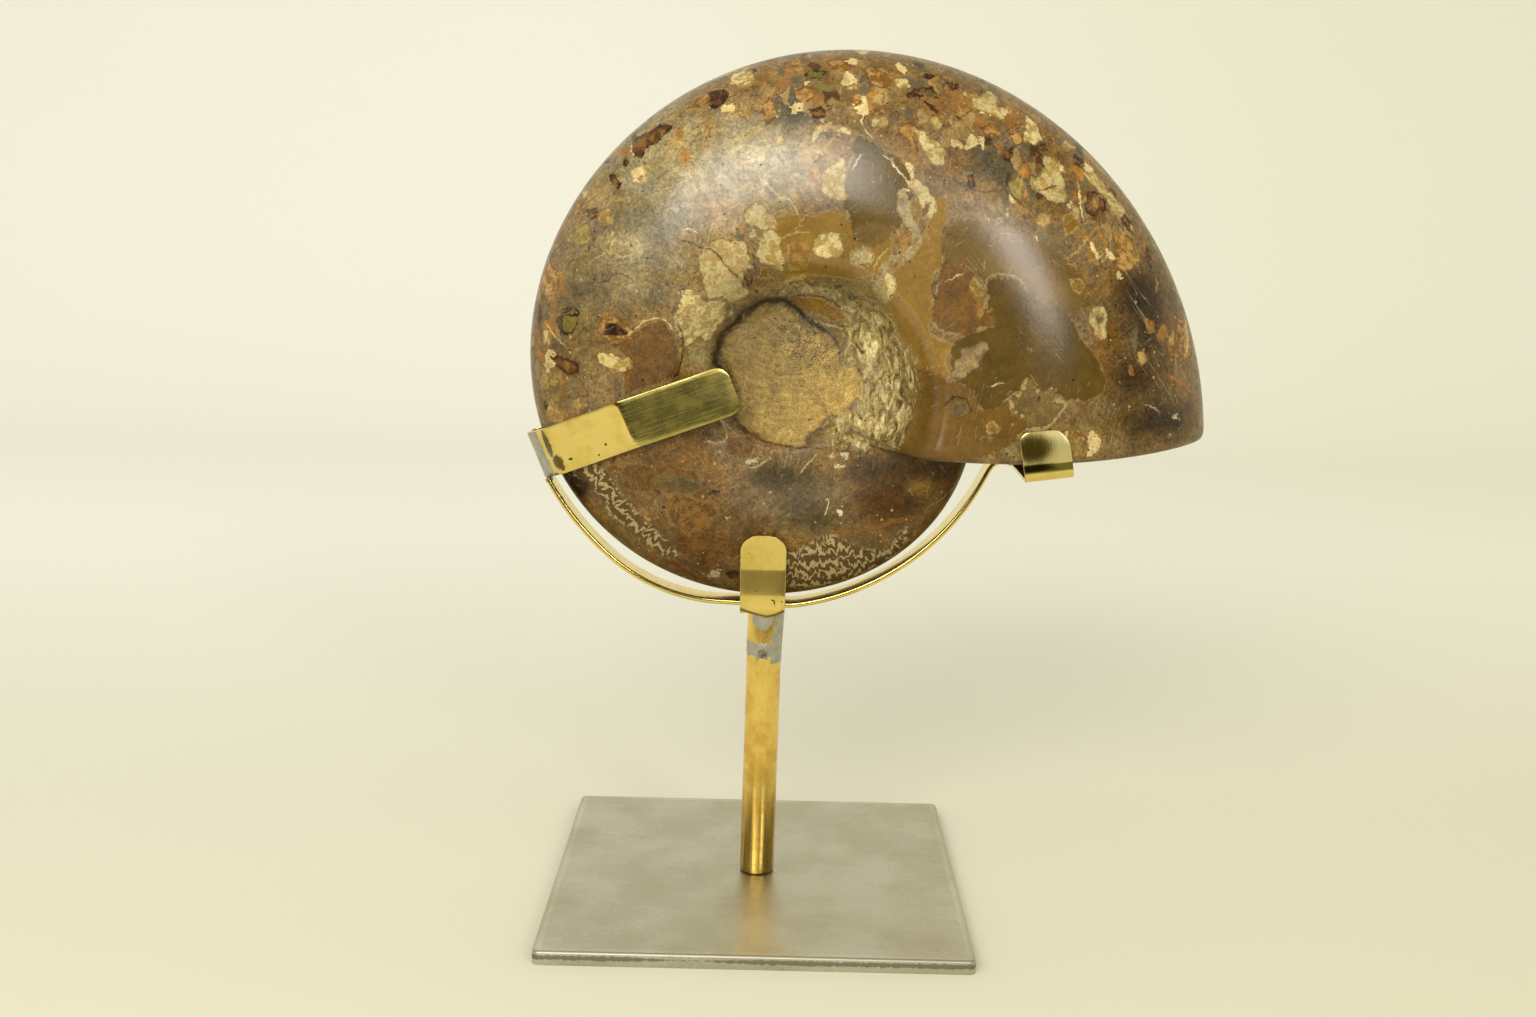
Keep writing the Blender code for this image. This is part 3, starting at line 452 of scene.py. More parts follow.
SHARDS = (
    ("rust", "-35 280, -34.8 278.5, -37 276.5, -40 273.5, -43 271, -45 267, -48.5 270.5, -49 273.5, -47 275.5,"
     "-44 277, -40 279.5"),
    ("dark_shard", "-52 266.5, -50.5 268, -49 266.5, -50.5 265"),
    ("rust", "-56.5 262.5, -54 263, -51.5 259, -52 257, -54 257.5, -56.5 260"),
    ("orange", "-30 286, -25 289.5, -22.5 291, -22 286.5, -28 286"),
    ("dark_shard", "-22.5 291, -20 292, -16 291.5, -15 290, -17 287.5, -20 285, -22 286.5"),
    ("olive_lens", "-72.5 215, -69 216.5, -66.5 214, -66 210.5, -68 208, -71 207, -73 208.5"),
    ("cream", "-80 208, -77 208, -76.5 203, -79.5 203"),
    ("orange", "-85 207, -83 206.5, -83 200.5, -86 200"),
    ("rust", "-76.5 199.5, -73.5 200, -70 198.5, -66 197, -65 194.5, -70 193, -73 195, -75.5 198"),
    ("yellow_calcite", "-78 190, -75 194, -73 190, -75 188"),
    ("yellow_calcite", "-77 184.5, -75 187, -73 184.5, -75 182.5"),
    ("tan", "-79 181, -71 180, -72 176, -79 175"),
    ("orange", "-59.5 210, -57.5 214, -52 214.5, -49.5 213, -46 210.5, -47 207, -55 205.5, -58 207"),
    ("dark_shard", "-56 212, -52 211.5, -48 209.5, -52 207.5, -57 208"),
    ("cream", "-59 202, -56 202.5, -53 201.5, -50.5 200.5, -47.5 200.5, -46 197.5, -48 195.5, -52 195, -58.5 198.5"),
    ("orange", "-50.5 193.5, -48 197, -46 196.5, -48 192.5"),
    ("cream", "-15 298, -8 299, -6 294, -10 292, -15 293.5"),
    ("orange", "-4 287, -1 290, 0.5 287, 1.5 283, -2 280, -4 284"),
    ("olive_lens", "10 297.5, 14 299, 18.5 298, 16 296, 11 296"),
    ("orange", "17.5 302, 22 303, 27 301.5, 24 299, 18.5 299.5"),
    ("orange", "26 290.5, 28 291.5, 30 291, 30 288.5, 28 287, 26 288"),
    ("tan", "17 288, 20 290, 22.5 288, 20 286"),
    ("cream", "24 293, 27 294.5, 28.5 293, 26 292"),
    ("orange", "30 300, 33 300.5, 40 298, 40 294, 36 293, 33 294.5"),
    ("cream", "40 297.5, 45 297, 46.5 294, 43 293, 40.5 293.5"),
    ("tan", "32 290, 36 291.5, 38.5 289, 35 287"),
    ("cream", "33.5 280, 38 280, 39 283.5, 33 283"),
    ("orange", "33 283.5, 38.5 284, 37 286, 34 286"),
    ("rust", "43.5 290.5, 47 293, 53 294.5, 57 290, 51 290.5, 47 290"),
    ("dark_shard", "50 289.5, 54 288, 56 286, 55.5 284.5, 53 287"),
    ("dark_shard", "49.5 297.5, 52.5 299, 55.5 298, 53 296.5"),
    ("dark_shard", "58 296, 64 295, 61 292.5"),
    ("orange", "57 299, 64 296.5, 63 295.5, 57 297.5"),
    ("cream", "25 269.5, 25 266, 24 262, 24.5 258.5, 26.5 257, 25 255.5, 21 255.5, 17 257.5, 16 260, 16.5 263,"
     "18 265.5, 20 267.5, 23 269"),
    ("golden", "17 272, 20 276, 24 275, 25 271, 21 270"),
    ("bone", "12 273, 13 277.5, 15.5 280.5, 19 281.3, 23.5 280.5, 28 278, 27.5 276.3, 23.5 277.5, 19.5 279, 16.5 277.5,"
     "15 274"),
    ("grey", "17 253.5, 19 255, 21.3 253.5, 19 252"),
    ("orange", "42 280.5, 46 281.3, 49 281, 47.5 277, 49 271.5, 46.5 271, 44.5 276, 42 278.5"),
    ("cream", "47.5 279.5, 51 279, 54.5 276, 58.5 272, 57.5 270.5, 57 268, 54 267.5, 52 269, 50 273, 48 277"),
    ("orange", "60 268.5, 63 268, 62.5 266, 60 266.5"),
    ("rust", "66 264.5, 68 265, 68.5 261, 67 259.5, 65.5 261"),
    ("cream", "68 291.5, 71 291, 71.5 293, 74 294, 76.5 291.5, 76.5 288.5, 78.5 285.5, 79 284, 77 283.2, 74 285,"
     "70.5 286, 66 287, 67.5 289"),
    ("bone", "86 287.5, 88.5 286.5, 90 283.5, 92 281, 91.5 279, 94 277, 91 276.5, 89 275, 86.5 275.5, 84.5 277,"
     "85 280, 86.5 283"),
    ("rust", "89 275.5, 93 276, 94.5 273.5, 90 273"),
    ("cream", "91.5 272, 94.5 272, 97.5 270.5, 99 267, 99.5 264, 100 260, 101.3 257.5, 96 256, 93 257.5, 91.5 259.5,"
     "88.5 260.5, 88.5 264, 91 265.5, 92.5 268"),
    ("tan", "98 275, 101 277.5, 105.5 275.5, 102 273.5"),
    ("cream", "106 267.5, 111 267.5, 113 265.5, 116 261.5, 120 258, 122.5 254.5, 124 250.5, 126 246.2, 121 250,"
     "117 254, 115 258, 111 261.5, 108.5 264.5"),
    ("rust", "106 256, 108 260, 111.5 260.5, 114.5 258, 115 254, 112 251.5, 108 252.5"),
    ("orange", "108.5 256, 110 258, 112.5 257.5, 112.5 254.5, 110 254"),
    ("orange", "109.5 249, 113 254, 114.5 254, 112 250"),
    ("orange", "104 244, 108.5 247, 107.5 243"),
    ("tan", "89 250, 92 253, 95.5 250.5, 92 247.5"),
    ("cream", "133.5 232, 134.8 230, 134.5 226, 133.3 227.5"),
    ("cream", "14 238, 15 242, 17 244.5, 20 245.5, 23 244.5, 24 241, 24.5 238.5, 23 236, 17 236.5"),
    ("cream", "-3 245, 0 246, 2 243, 4 240, 5.5 236, 4.5 231, 3 230, 1 233, -3 234, -5 237, -4 241"),
    ("golden", "6 240, 12 241, 14 237, 12 232, 7 231"),
    ("rust", "-9 229, -7.3 232, -5.7 229, -7 225.5, -8.5 226.5"),
    ("golden", "46 255, 48 257.5, 50 254, 49.5 248, 47 247.5"),
    ("vein", "62 199.5, 64 203.5, 66 207.5, 69 208, 71.5 210.5, 73 210.5, 74 208, 73 204.5, 71 201, 68 199, 64.5 196.5,"
     "62 197.3"),
    ("bone", "109 222.5, 112 223, 115.5 220, 116 218.5, 114.5 216, 115 211.5, 113 210, 111 210.5, 110 212.5, 108 217"),
    ("grey", "110.5 218, 112 219.5, 113.5 218, 112 216.5"),
    ("orange", "101 180.5, 105 179.5, 109.5 179, 109 175.5, 106 177.5"),
    ("chalk", "110 173.5, 112 174.3, 114.5 173.7, 112 172.9"),
    ("plum_brown", "72 177, 75 178.5, 78 177, 75 175.5"),
    ("golden", "74 182, 76.5 183.5, 79.5 181, 77 178.5, 74.5 179"),
    ("orange", "-54 162.5, -52 161.5, -51.5 157.5, -53 158"),
    ("orange", "-51 148, -45 145.5, -39 142, -35 140, -36 139, -43 142, -50 146"),
    ("dark_shard", "-20.5 153, -18 154, -15.5 153, -18 152.2"),
    ("chalk", "-20 120.5, -18 123, -15 123.5, -16 120, -19 119"),
    ("dark_shard", "-14 123, -9 123.5, -8 120, -12 119"),
    ("chalk", "22 166.5, 23.5 167.5, 25 166.5, 23.5 165"),
    ("chalk", "26.5 167, 28.5 168, 29.5 165, 28 164.5"),
    ("chalk", "24 163, 26 163.5, 28.5 162.5, 26 161.5"),
    ("chalk", "-7 163, -6 164.2, -3 164.5, -3.5 162.8"),
    ("plum_brown", "36.5 183.5, 38 185.5, 39.8 183.5, 38 181.5"),
    ("orange", "38 200, 39 202, 40.2 200, 39 198.5"),
    ("rust", "46 200.5, 47.2 202, 48.4 200, 47 198.6"),
    ("cream", "-53.5 262, -52 264, -50.5 263, -51 261"),
    ("orange", "-34 285, -31.5 282.5, -30.5 280.5, -32 282"),
    ("orange", "-70 253, -66 253, -66.5 249, -69.5 248.5"),
    ("cream", "-66.5 257.5, -64 257, -64 254, -66 254.5"),
    ("cream", "-79 223, -76.5 223.5, -76.5 221, -79 220.8"),
    ("rust", "-80 182.5, -78 182.5, -78 179.8, -80 180"),
    ("dark_shard", "-8 299.5, -6.3 299.3, -6 297.8, -7.8 297.5"),
    ("tan", "-12 284.5, -8 284, -7.5 281.5, -11.5 282"),
    ("tan", "25.5 285.5, 28.5 285, 28 282.8, 26 283"),
    ("chalk", "42 287.5, 44 287.3, 43.8 285.8, 42 286"),
    ("grey", "50.5 292.5, 55.5 291.5, 54 289.8, 51 290"),
    ("dark_shard", "96.4 235, 98.5 235, 98.4 234, 96.6 233.9"),
    ("golden", "-4 229, -2.5 233, 0 232, -0.5 228.5"),
    ("dark_shard", "-4.8 224.7, -3.3 224.8, -3.2 223.4, -4.7 223.2"),
    ("cream", "-7.6 243.2, -6.2 245.2, -4.4 243.7, -6 242"),
    ("dark_shard", "-20.9 202.3, -19.2 202.3, -19.1 200.7, -20.7 200.7"),
    ("red_brown", "50 250, 51.5 256, 53.2 255.5, 52 249.5"),
    ("rust", "91.2 191.8, 92.8 191.8, 92.9 190.3, 91.3 190.3"),
    ("chalk", "141 184.5, 142.9 184.6, 142.6 183.4, 141.4 183.3"),
    ("grey", "61 186, 64 189.4, 67.6 188.6, 68.5 186, 65 184.4"),
    ("chalk", "26 146.8, 28 147, 27.8 145.3, 26.4 145.2"),
    ("chalk", "-13.7 144.8, -12.3 144.6, -12.5 143.2, -13.5 143.4"),
    ("dark_shard", "-36.2 148, -35 148, -35 146.2, -36 146.2"),
    ("orange", "2 301.5, 8 303.5, 12 302.5, 8 300.5"), ("tan", "-24 281, -20 282, -21 276, -23 275"),
    ("yellow_calcite", "12 294, 20 295, 22 292, 14 291"), ("cream", "0 276, 3 277.5, 4.5 274, 1.5 272.5"),
    ("tan", "58 280, 63 281, 64 277, 60 275.5"), ("orange", "70 281, 75 282, 77 278.5, 72 277.5"),
    ("yellow_calcite", "79 263, 83 264.5, 86.5 262, 85 258, 86.5 255.5, 82 256.5, 80.5 259.5"),
    ("golden", "98 251, 101.5 253, 105 250.5, 103 247, 100 245.5, 99 248"), ("tan", "-60 250, -56 252, -54 246, -59 245"),
    ("golden", "101 231, 104 232, 106.5 229.5, 105 226, 102.5 227"), ("rust", "131 243, 133 240, 132 235, 130 238"),
    ("dark_shard", "104 272.5, 108 270.5, 107 269, 103 271"), ("tan", "126 206, 129 208, 131 204, 128 202"),
    ("orange", "6 291, 10 293.5, 15 291.5, 14 288.5, 9 287.5"), ("rust", "12 285, 16 286.5, 17.5 283.5, 14 281.5"),
    ("cream", "52 283, 55 284.5, 57.5 281, 55 279"), ("orange", "62 288, 66 289, 67 285.5, 63 284.5"),
    ("orange", "80 279, 84 280.5, 85.5 276, 82 274.5"), ("rust", "78 274, 81 274.5, 81.5 270.5, 78.5 270"),
    ("bone", "101 255, 104.5 256.5, 106 252.5, 103 250.5"), ("rust", "122 254, 124.5 250.5, 123.5 247, 120.5 250.5"),
    ("cream", "-37 283, -34 284.5, -33 281.5, -36 280.5"), ("rust", "-64 250, -60.5 251.5, -59 248, -62.5 246.5"),
    ("rust", "117 262.5, 121 259.5, 120 258.5, 116 261.5"), ("cream", "-46 262, -43 263.5, -42 260.5, -45 259.5"),
)
# Veins, cracks, scratches and bands: colour, width (mm) and course
LINES = (
    ("#8c7b52", 3.2, "44 258, 45 252, 47 248, 49 244, 48 240, 45 237, 41 236, 38 233, 36.5 229, 37 226, 39 223"),
    ("#cbb98a", 0.7, "38 270, 42 266, 46 261.5"),
    ("#b8a87c", 0.5, "29.5 270.5, 28.5 268.5, 27.5 266.5"),
    ("#5a3208", 0.8, "-20 238, -15 233, -11 229, -9 225"),
    ("#a08c58", 0.6, "35 231, 36 236, 39 239.5"),
    ("#463412", 1.1, "59.5 236, 57.5 230, 54 227.5, 55.5 224"),
    ("#85724a", 0.8, "72 227, 74 231, 78 232.6, 82 231.8, 85 229"),
    ("#b9a678", 0.5, "-78 210, -74 206, -70.5 203"),
    ("#2c1a0a", 0.7, "-31 213, -29.5 206, -30 198, -32 194"),
    ("#c9b27a", 0.6, "104.5 262, 105 257, 106 252"),
    ("#95804c", 0.5, "100 238, 104 241, 110 247"),
    ("#8f7c54", 0.3, "74 242, 79 243.5, 84 243"),
    ("#8f7c54", 0.3, "75 244.5, 79 245.6, 83 245.3"),
    ("#8a5a20", 1.2, "140 198, 144 195.5, 147.5 193.5"),
    ("#9c8f66", 0.5, "131 189, 133.5 187.5, 135 186"),
    ("#b8ac84", 0.4, "75.5 195, 77.5 195.5, 79.5 195.8"),
    ("#352008", 1.9, "-19 199, -17 206, -13 211, -8 216, -3 219.5, 2 220.5, 7 219.5"),
    ("#3c280c", 0.9, "0 222, 6 223, 12 223.5, 21 221.5, 24 219"),
    ("#4a2408", 0.7, "-10 177, -4 172, 0 170.7, 6 169.5, 18 169.2"),
    ("#a99c74", 0.8, "8 218, 13 215, 18 213, 27 211"),
    ("#92835a", 1.0, "-16 178, -14.5 175, -14 172, -17 170.2, -21 170.2"),
    ("#6e3e14", 0.9, "-4.5 172, -4 169, -1.5 167.5, 2 168.5"),
    ("#92835a", 0.8, "2 168, 1 165, -2 162.5, -5 161.5"),
    ("#c2b790", 0.5, "22.5 150, 22.3 148, 22 146"),
    ("#a89b70", 0.5, "13 160, 15 163, 17 165, 18 167"),
    ("#5e2c0c", 1.0, "-35 125.5, -30 123.5, -26 120.5"),
    ("#6e4a20", 2.0, "24 138.5, 30 140, 37 140.5, 44 142, 50 143.5"),
    ("#7a6444", 1.0, "60 148, 65 151, 70 155"),
    ("#c2b896", 0.5, "-30 244.5, -27 244.2, -25 243.5"),
    ("#3a2a14", 0.6, "-30 240.5, -26 239.3, -22 238.5"),
    ("#1f1206", 0.8, "-6 236, -5.5 234, -5 232"),
    ("#b8a878", 0.6, "30 290, 31 286, 30 281, 33 277"),
    ("#3f2a10", 0.7, "89 260.3, 92 260.8, 96 262"),
    ("#b5a472", 0.5, "-33 211, -36 214, -42 213, -48 209"),
    ("#b5a67c", 1.6, "35 170, 35.5 183, 36.5 196, 37.5 207"),
    ("#b0a074", 1.2, "38.5 172, 40 186, 41 198, 42 207"),
    ("#a89870", 1.2, "31.5 172, 32.5 184, 34 192"),
    ("#8f7f58", 1.3, "44 176, 46 188, 47.5 197"),
    ("#6e5c34", 0.8, "37 171, 38 183, 39 196, 40 206"),
    ("#3a2a0c", 0.8, "-61 243, -61.5 239, -63 237"), ("#1a0e04", 0.9, "-72 216, -68.5 216.7, -66 214.5, -70 214"),
    ("#97855a", 0.5, "109 237, 112 239, 115 241"), ("#97855a", 0.5, "110 235.5, 113 237.3, 116 239"),
    ("#8f7438", 0.6, "117 249, 119 244, 123 240, 126 236"), ("#8f7438", 0.5, "119 250, 122 245, 126 241, 128 237"),
    ("#938349", 0.6, "8 245.5, 10 248, 12 250"), ("#94824f", 0.7, "3 242, 8 244, 13 244.5"),
    ("#c0ae84", 0.4, "60 230, 62 231.5, 64 232.5"), ("#b89a58", 1.1, "146.5 205, 147.6 210, 147.4 216"),
    ("#2e2210", 0.9, "60 188, 63 190.8, 67 190.3, 69.2 187"), ("#4a3818", 0.5, "60 245, 66 244, 72 245.5, 77 243"),
    ("#9c8a5c", 0.5, "-62 232, -56 236, -50 235, -44 238"), ("#3c2a14", 0.5, "-58 226, -52 229, -47 227"),
    ("#4a3418", 0.8, "63 262, 70 259, 78 260, 84 256"), ("#a8966a", 0.6, "-4 262, 2 257, 6 255, 9 251"),
)
CUP_OUTLINE = ("-18.5 199, -18 204, -15 209, -12 212, -8 216, -3 219.5, 2 220.5, 6 220, 9 217.5, 13 214.5, 18 211,"
    "22 208.5, 24.5 205, 25.5 201, 26 198.5, 28.5 197.5, 31 197, 33.5 194, 34 190, 32 187, 29 183.5, 25 180.5,"
    "21.5 179, 18 176, 14.5 173.5, 14 170, 10 169.5, 5 170, 0 171, -4 173.5, -8 175.5, -11 179, -11.5 183,"
    "-14 192, -17 197")
CRUMBLY_OUTLINE = ("27 197, 31 197, 33.5 194, 34 190, 32 187, 29 183.5, 25 181, 22 178, 20 175, 22 171, 30 169.5, 40 170,"
    "46 171, 49 178, 51 186, 51.5 195, 50 203, 46 209, 42 214, 38 216, 32 216, 27 213, 24 210, 25 204")
RING_OUTLINE = ("-16.5 214, -15 217, -12 218.7, -8 219.5, -4.5 222.2, 0 223.5, 5 227, 11.3 228.5, 17.4 227.3, 23.5 225,"
    "29.6 224.8, 37 223, 41 219, 43.5 213, 38 211, 32 214.5, 28 216.5, 23 220, 18 222.8, 12 223.3, 7 221.8, 2 221.2,"
    "-3 220.2, -8 217, -12 213.3, -15 210.5")
LACE_OUTLINES = ("-70 157, -62 153, -56 143, -48 136, -40 130, -34 126, -31 129, -37 137, -45 145, -52 153, -58 161, -66 162",
    "8 130, 16 134, 24 139, 28 136, 36 133, 44 132, 50 139.5, 54 139, 51 131, 46 123, 34 118, 20 116, 8 117")

# The softly changing ground between them: centre, reach and colour. Besides the stone's own tones
# the zones hold painted light: the dark zones on the right flank and the lower whorl are painted
# shade where the stone turns away from the lamps, and the pale grey zones on the upper left carry
# part of a painted highlight
GROUND = "#6f5833"
GROUND_AND_SHADE_ZONES = (
    (-30, 262, 48, 34, "#8a7d5a", 0.9), (-5, 272, 34, 22, "#958762", 0.7), (-48, 232, 34, 24, "#7d7154", 0.8),
    (-68, 215, 20, 40, "#6b5a36", 0.6), (-60, 182, 26, 16, "#6b583c", 0.6), (10, 292, 50, 12, "#80663a", 0.7),
    (50, 288, 34, 14, "#70562a", 0.7), (90, 262, 30, 34, "#684c24", 0.8), (78, 250, 22, 16, "#79663c", 0.7),
    (60, 270, 18, 16, "#715a36", 0.7), (105, 235, 26, 16, "#6f5832", 0.7), (128, 226, 22, 22, "#3d2c12", 0.8),
    (126, 200, 26, 20, "#3a2a12", 0.8), (135, 183, 30, 12, "#302614", 0.8), (96, 176, 30, 10, "#80703c", 0.7),
    (70, 186, 18, 14, "#56421d", 0.7), (62, 176, 22, 8, "#594118", 0.7), (-35, 160, 36, 16, "#5e431b", 0.8),
    (-50, 150, 24, 18, "#654a2a", 0.6), (-20, 132, 34, 20, "#553a16", 0.9), (10, 152, 22, 18, "#514324", 0.9),
    (45, 150, 26, 20, "#432c0c", 0.9), (20, 126, 40, 16, "#5c4420", 0.9), (60, 160, 22, 14, "#48300c", 0.9),
    (-10, 205, 8, 12, "#7c6a44", 0.6), (46, 184, 12, 16, "#94855a", 0.6), (115, 212, 8, 14, "#5c400e", 0.7),
    (-14, 250, 16, 10, "#847250", 0.6), (-22, 200, 12, 9, "#908150", 0.7), (18, 225, 24, 6, "#786c46", 0.7),
    (7, 287, 11, 11, "#4a4636", 1.0), (77, 270, 15, 12, "#4c4432", 1.0), (84, 262, 10, 9, "#4f4834", 0.9),
    (128, 225, 12, 9, "#2b1f0c", 0.9), (130, 214, 10, 10, "#322812", 0.9), (-68, 152, 8, 11, "#261706", 1.0),
    (55, 155, 8, 6, "#6b531f", 0.8), (-20, 250, 16, 12, "#846e4e", 0.8), (-40, 246, 18, 10, "#6e6650", 0.8),
    (-62, 226, 12, 12, "#5e5642", 0.8), (-50, 240, 12, 8, "#938460", 0.7), (94, 244, 12, 8, "#57503c", 0.8),
    (2, 158, 12, 8, "#453816", 0.9), (18, 144, 16, 10, "#443a1c", 0.8), (-30, 172, 16, 8, "#6c4c1a", 0.8),
    (-6, 172, 12, 5, "#7a5c24", 0.8), (40, 162, 16, 8, "#38280f", 0.8), (-52, 172, 14, 8, "#5a4526", 0.7),
)
# Where broken bits lie thick in the ground: centre, reach and share of the bits that show
RUBBLE = (
    (15, 294, 46, 15, 0.75), (62, 285, 34, 17, 0.8), (98, 264, 30, 24, 0.7), (120, 246, 16, 18, 0.5),
    (-42, 272, 24, 12, 0.5), (-78, 228, 10, 34, 0.6), (-76, 192, 13, 22, 0.5), (100, 236, 30, 16, 0.4),
    (134, 208, 16, 14, 0.25), (90, 176, 40, 10, 0.3), (20, 238, 40, 14, 0.35), (-44, 158, 20, 14, 0.12),
    (10, 265, 22, 16, 0.3), (62, 262, 22, 12, 0.35), (-10, 171, 24, 6, 0.12),
)


def course(text):
    """Points in millimetres from a string of x z pairs."""
    return np.array([[float(v) for v in pair.split()] for pair in text.replace(",", ", ").split(", ") if pair.strip()])


def smoothed(points, closed, parts=4):
    """The same course drawn as a smooth curve through its points."""
    count = len(points)
    pick = (lambda i: points[i % count]) if closed else (lambda i: points[min(max(i, 0), count - 1)])
    made = []
    for i in range(count if closed else count - 1):
        a, b, c, d = pick(i - 1), pick(i), pick(i + 1), pick(i + 2)
        for k in range(parts):
            t = k / parts
            made.append(0.5 * (2 * b + (c - a) * t + (2 * a - 5 * b + 4 * c - d) * t * t + (3 * b - a - 3 * c + d) * t**3))
    if not closed:
        made.append(points[-1])
    return np.array(made)


def distances(places, points, closed):
    """How far each place is from a course, on which side of it, and whether it is inside."""
    ends = np.roll(points, -1, axis=0) if closed else points[1:]
    best = np.full(len(places), 1e9)
    side = np.ones(len(places))
    inside = np.zeros(len(places), bool)
    for a, b in zip(points, ends):
        run = b - a
        off = places - a
        t = np.clip(off @ run / max(run @ run, 1e-12), 0.0, 1.0)
        away = np.hypot(*(off - t[:, None] * run).T)
        nearer = away < best
        best = np.where(nearer, away, best)
        side = np.where(nearer, np.sign(run[0] * off[:, 1] - run[1] * off[:, 0]), side)
        if closed and a[1] != b[1]:
            crosses = (a[1] > places[:, 1]) != (b[1] > places[:, 1])
            inside ^= crosses & (places[:, 0] < a[0] + (places[:, 1] - a[1]) / (b[1] - a[1]) * run[0])
    return best, side, inside


def outline_depth(places, text, margin=9.0, smooth=True):
    """Signed distance in millimetres to an outline, below zero inside it, for the places near it."""
    points = course(text)
    if smooth:
        points = smoothed(points, True)
    low, high = points.min(0) - margin, points.max(0) + margin
    near = np.nonzero(((places > low) & (places < high)).all(1))[0]
    best, _, inside = distances(places[near], points, True)
    return near, np.where(inside, -best, best)


def write_attribute(mesh, name, values, kind="FLOAT"):
    made = mesh.attributes.new(name, kind, "POINT")
    made.data.foreach_set("value" if kind == "FLOAT" else "color", np.ascontiguousarray(values, dtype=np.float32).ravel())


def lay_out(mesh, places, layer, marks, smooth):
    """Writes a layer of marks on the mesh: the distance to the nearest outline, and its colours."""
    count = len(places)
    depth = np.full(count, 20.0)
    body, second, outline = np.zeros((count, 4)), np.zeros((count, 4)), np.zeros((count, 4))
    for place, (kind, text) in enumerate(marks):
        first_colour, other_colour, edge_colour, edge_wide, ragged, rough = KINDS[kind]
        shade = 0.80 + 0.45 * (place * 0.618 % 1.0) if rough > 0.2 else 1.0
        near, away = outline_depth(places, text, smooth=smooth)
        taken = near[(away < depth[near]) | (away < 0.0)]
        depth[near] = np.where((away < depth[near]) | (away < 0.0), away, depth[near])
        body[taken] = [v * shade for v in linear(first_colour)[:3]] + [ragged]
        second[taken] = linear(other_colour, rough)
        outline[taken] = linear(edge_colour, edge_wide)
    write_attribute(mesh, layer + "_depth", np.clip(depth, -9.0, 9.0))
    write_attribute(mesh, layer + "_body", body, "FLOAT_COLOR")
    write_attribute(mesh, layer + "_second", second, "FLOAT_COLOR")
    write_attribute(mesh, layer + "_outline", outline, "FLOAT_COLOR")


stone_surface, stone_tree = new_surface("polished_fossil_stone")
chamber_surface, chamber_tree = new_surface("cut_and_polished_chambers")
stone = grown("ammonite", shell, {
    **SPIRAL_SIZES,
    "Turn rows": TURN_ROWS,
    "Flank rows": FLANK_ROWS,
    "Wall rows": WALL_ROWS,
    "Surface": stone_surface,
})
# The cut: one flat face, with its edge just eased
form = bmesh.new()
stone.data.materials.clear()
for surface in (stone_surface, chamber_surface):
    stone.data.materials.append(surface)
form.from_mesh(stone.data)
bmesh.ops.recalc_face_normals(form, faces=form.faces)
cut_edges = [e for e in form.edges if e.is_boundary]
for vert in {v for e in cut_edges for v in e.verts}:
    vert.co.y = CUT_Y
filled = bmesh.ops.contextual_create(form, geom=cut_edges)["faces"]
for face in filled:
    face.material_index = 1
bmesh.ops.recalc_face_normals(form, faces=form.faces)
cut_edges = [e for e in form.edges if len({f.material_index for f in e.link_faces}) == 2]
bmesh.ops.bevel(form, geom=cut_edges, offset=CUT_EASE, segments=2, profile=0.5, affect="EDGES", clamp_overlap=True, material=0)
bmesh.ops.triangulate(form, faces=[f for f in form.faces if len(f.verts) > 4])
form.to_mesh(stone.data)
form.free()
mesh = stone.data
count = len(mesh.vertices)
spots = np.empty(count * 3, dtype=np.float32)
mesh.vertices.foreach_get("co", spots)
spots = spots.reshape(-1, 3).astype(float)

# Outlines wander a little, as broken shell and calcite do
noise.seed_set(1)
wander = np.array([noise.noise_vector(Vector((x * 170.0, z * 170.0, 3.0))).to_tuple() for x, _, z in spots])
fine_wander = np.array([noise.noise_vector(Vector((x * 520.0, z * 520.0, 9.0))).to_tuple() for x, _, z in spots])
flat = spots[:, [0, 2]] * 1000.0
places = flat + 0.9 * wander[:, [0, 2]] + 0.35 * fine_wander[:, [0, 2]]
lay_out(mesh, places, "bed", BEDS, True)
lay_out(mesh, places, "shard", SHARDS, False)

# Lines: signed distance to the nearest, its colour, and its width where it is near
side = np.full(count, 9.0)
nearest = np.full(count, 1e9)
paint = np.zeros((count, 4))
for code, wide, text in LINES:
    points = smoothed(course(text), False, 5)
    low, high = points.min(0) - 4.0, points.max(0) + 4.0
    near = np.nonzero(((places > low) & (places < high)).all(1))[0]
    away, which, _ = distances(places[near], points, False)
    taken = away < nearest[near]
    nearest[near[taken]] = away[taken]
    side[near[taken]] = (away * which)[taken]
    paint[near[taken]] = linear(code, 0.0)
    close = near[taken & (away < 0.5 * wide + 1.1)]
    paint[close, 3] = wide
write_attribute(mesh, "line_side", np.clip(side, -9.0, 9.0))
write_attribute(mesh, "line_paint", paint, "FLOAT_COLOR")

# The ground's soft zones, with their painted shade and painted highlight
ground_and_painted_light = np.tile(np.array(linear(GROUND)), (count, 1))
for x, z, wide, tall, code, strength in GROUND_AND_SHADE_ZONES:
    away = np.hypot((places[:, 0] - x + 2.5 * wander[:, 1]) / wide, (places[:, 1] - z) / tall)
    share = strength * np.clip(1.0 - away, 0.0, 1.0) ** 0.8
    share = share * share * (3 - 2 * share)
    ground_and_painted_light += (np.array(linear(code)) - ground_and_painted_light) * np.clip(share * 1.25, 0.0, 1.0)[:, None]
write_attribute(mesh, "ground_and_painted_light", ground_and_painted_light, "FLOAT_COLOR")

# How much rubble of shell shows in the ground
rubble = np.zeros(count)
for x, z, wide, tall, strength in RUBBLE:
    away = np.hypot((places[:, 0] - x + 3.0 * wander[:, 1]) / wide, (places[:, 1] - z + 3.0 * wander[:, 0]) / tall)
    rubble = np.maximum(rubble, strength * np.clip(1.4 - 1.4 * away, 0.0, 1.0))
write_attribute(mesh, "rubble", rubble)

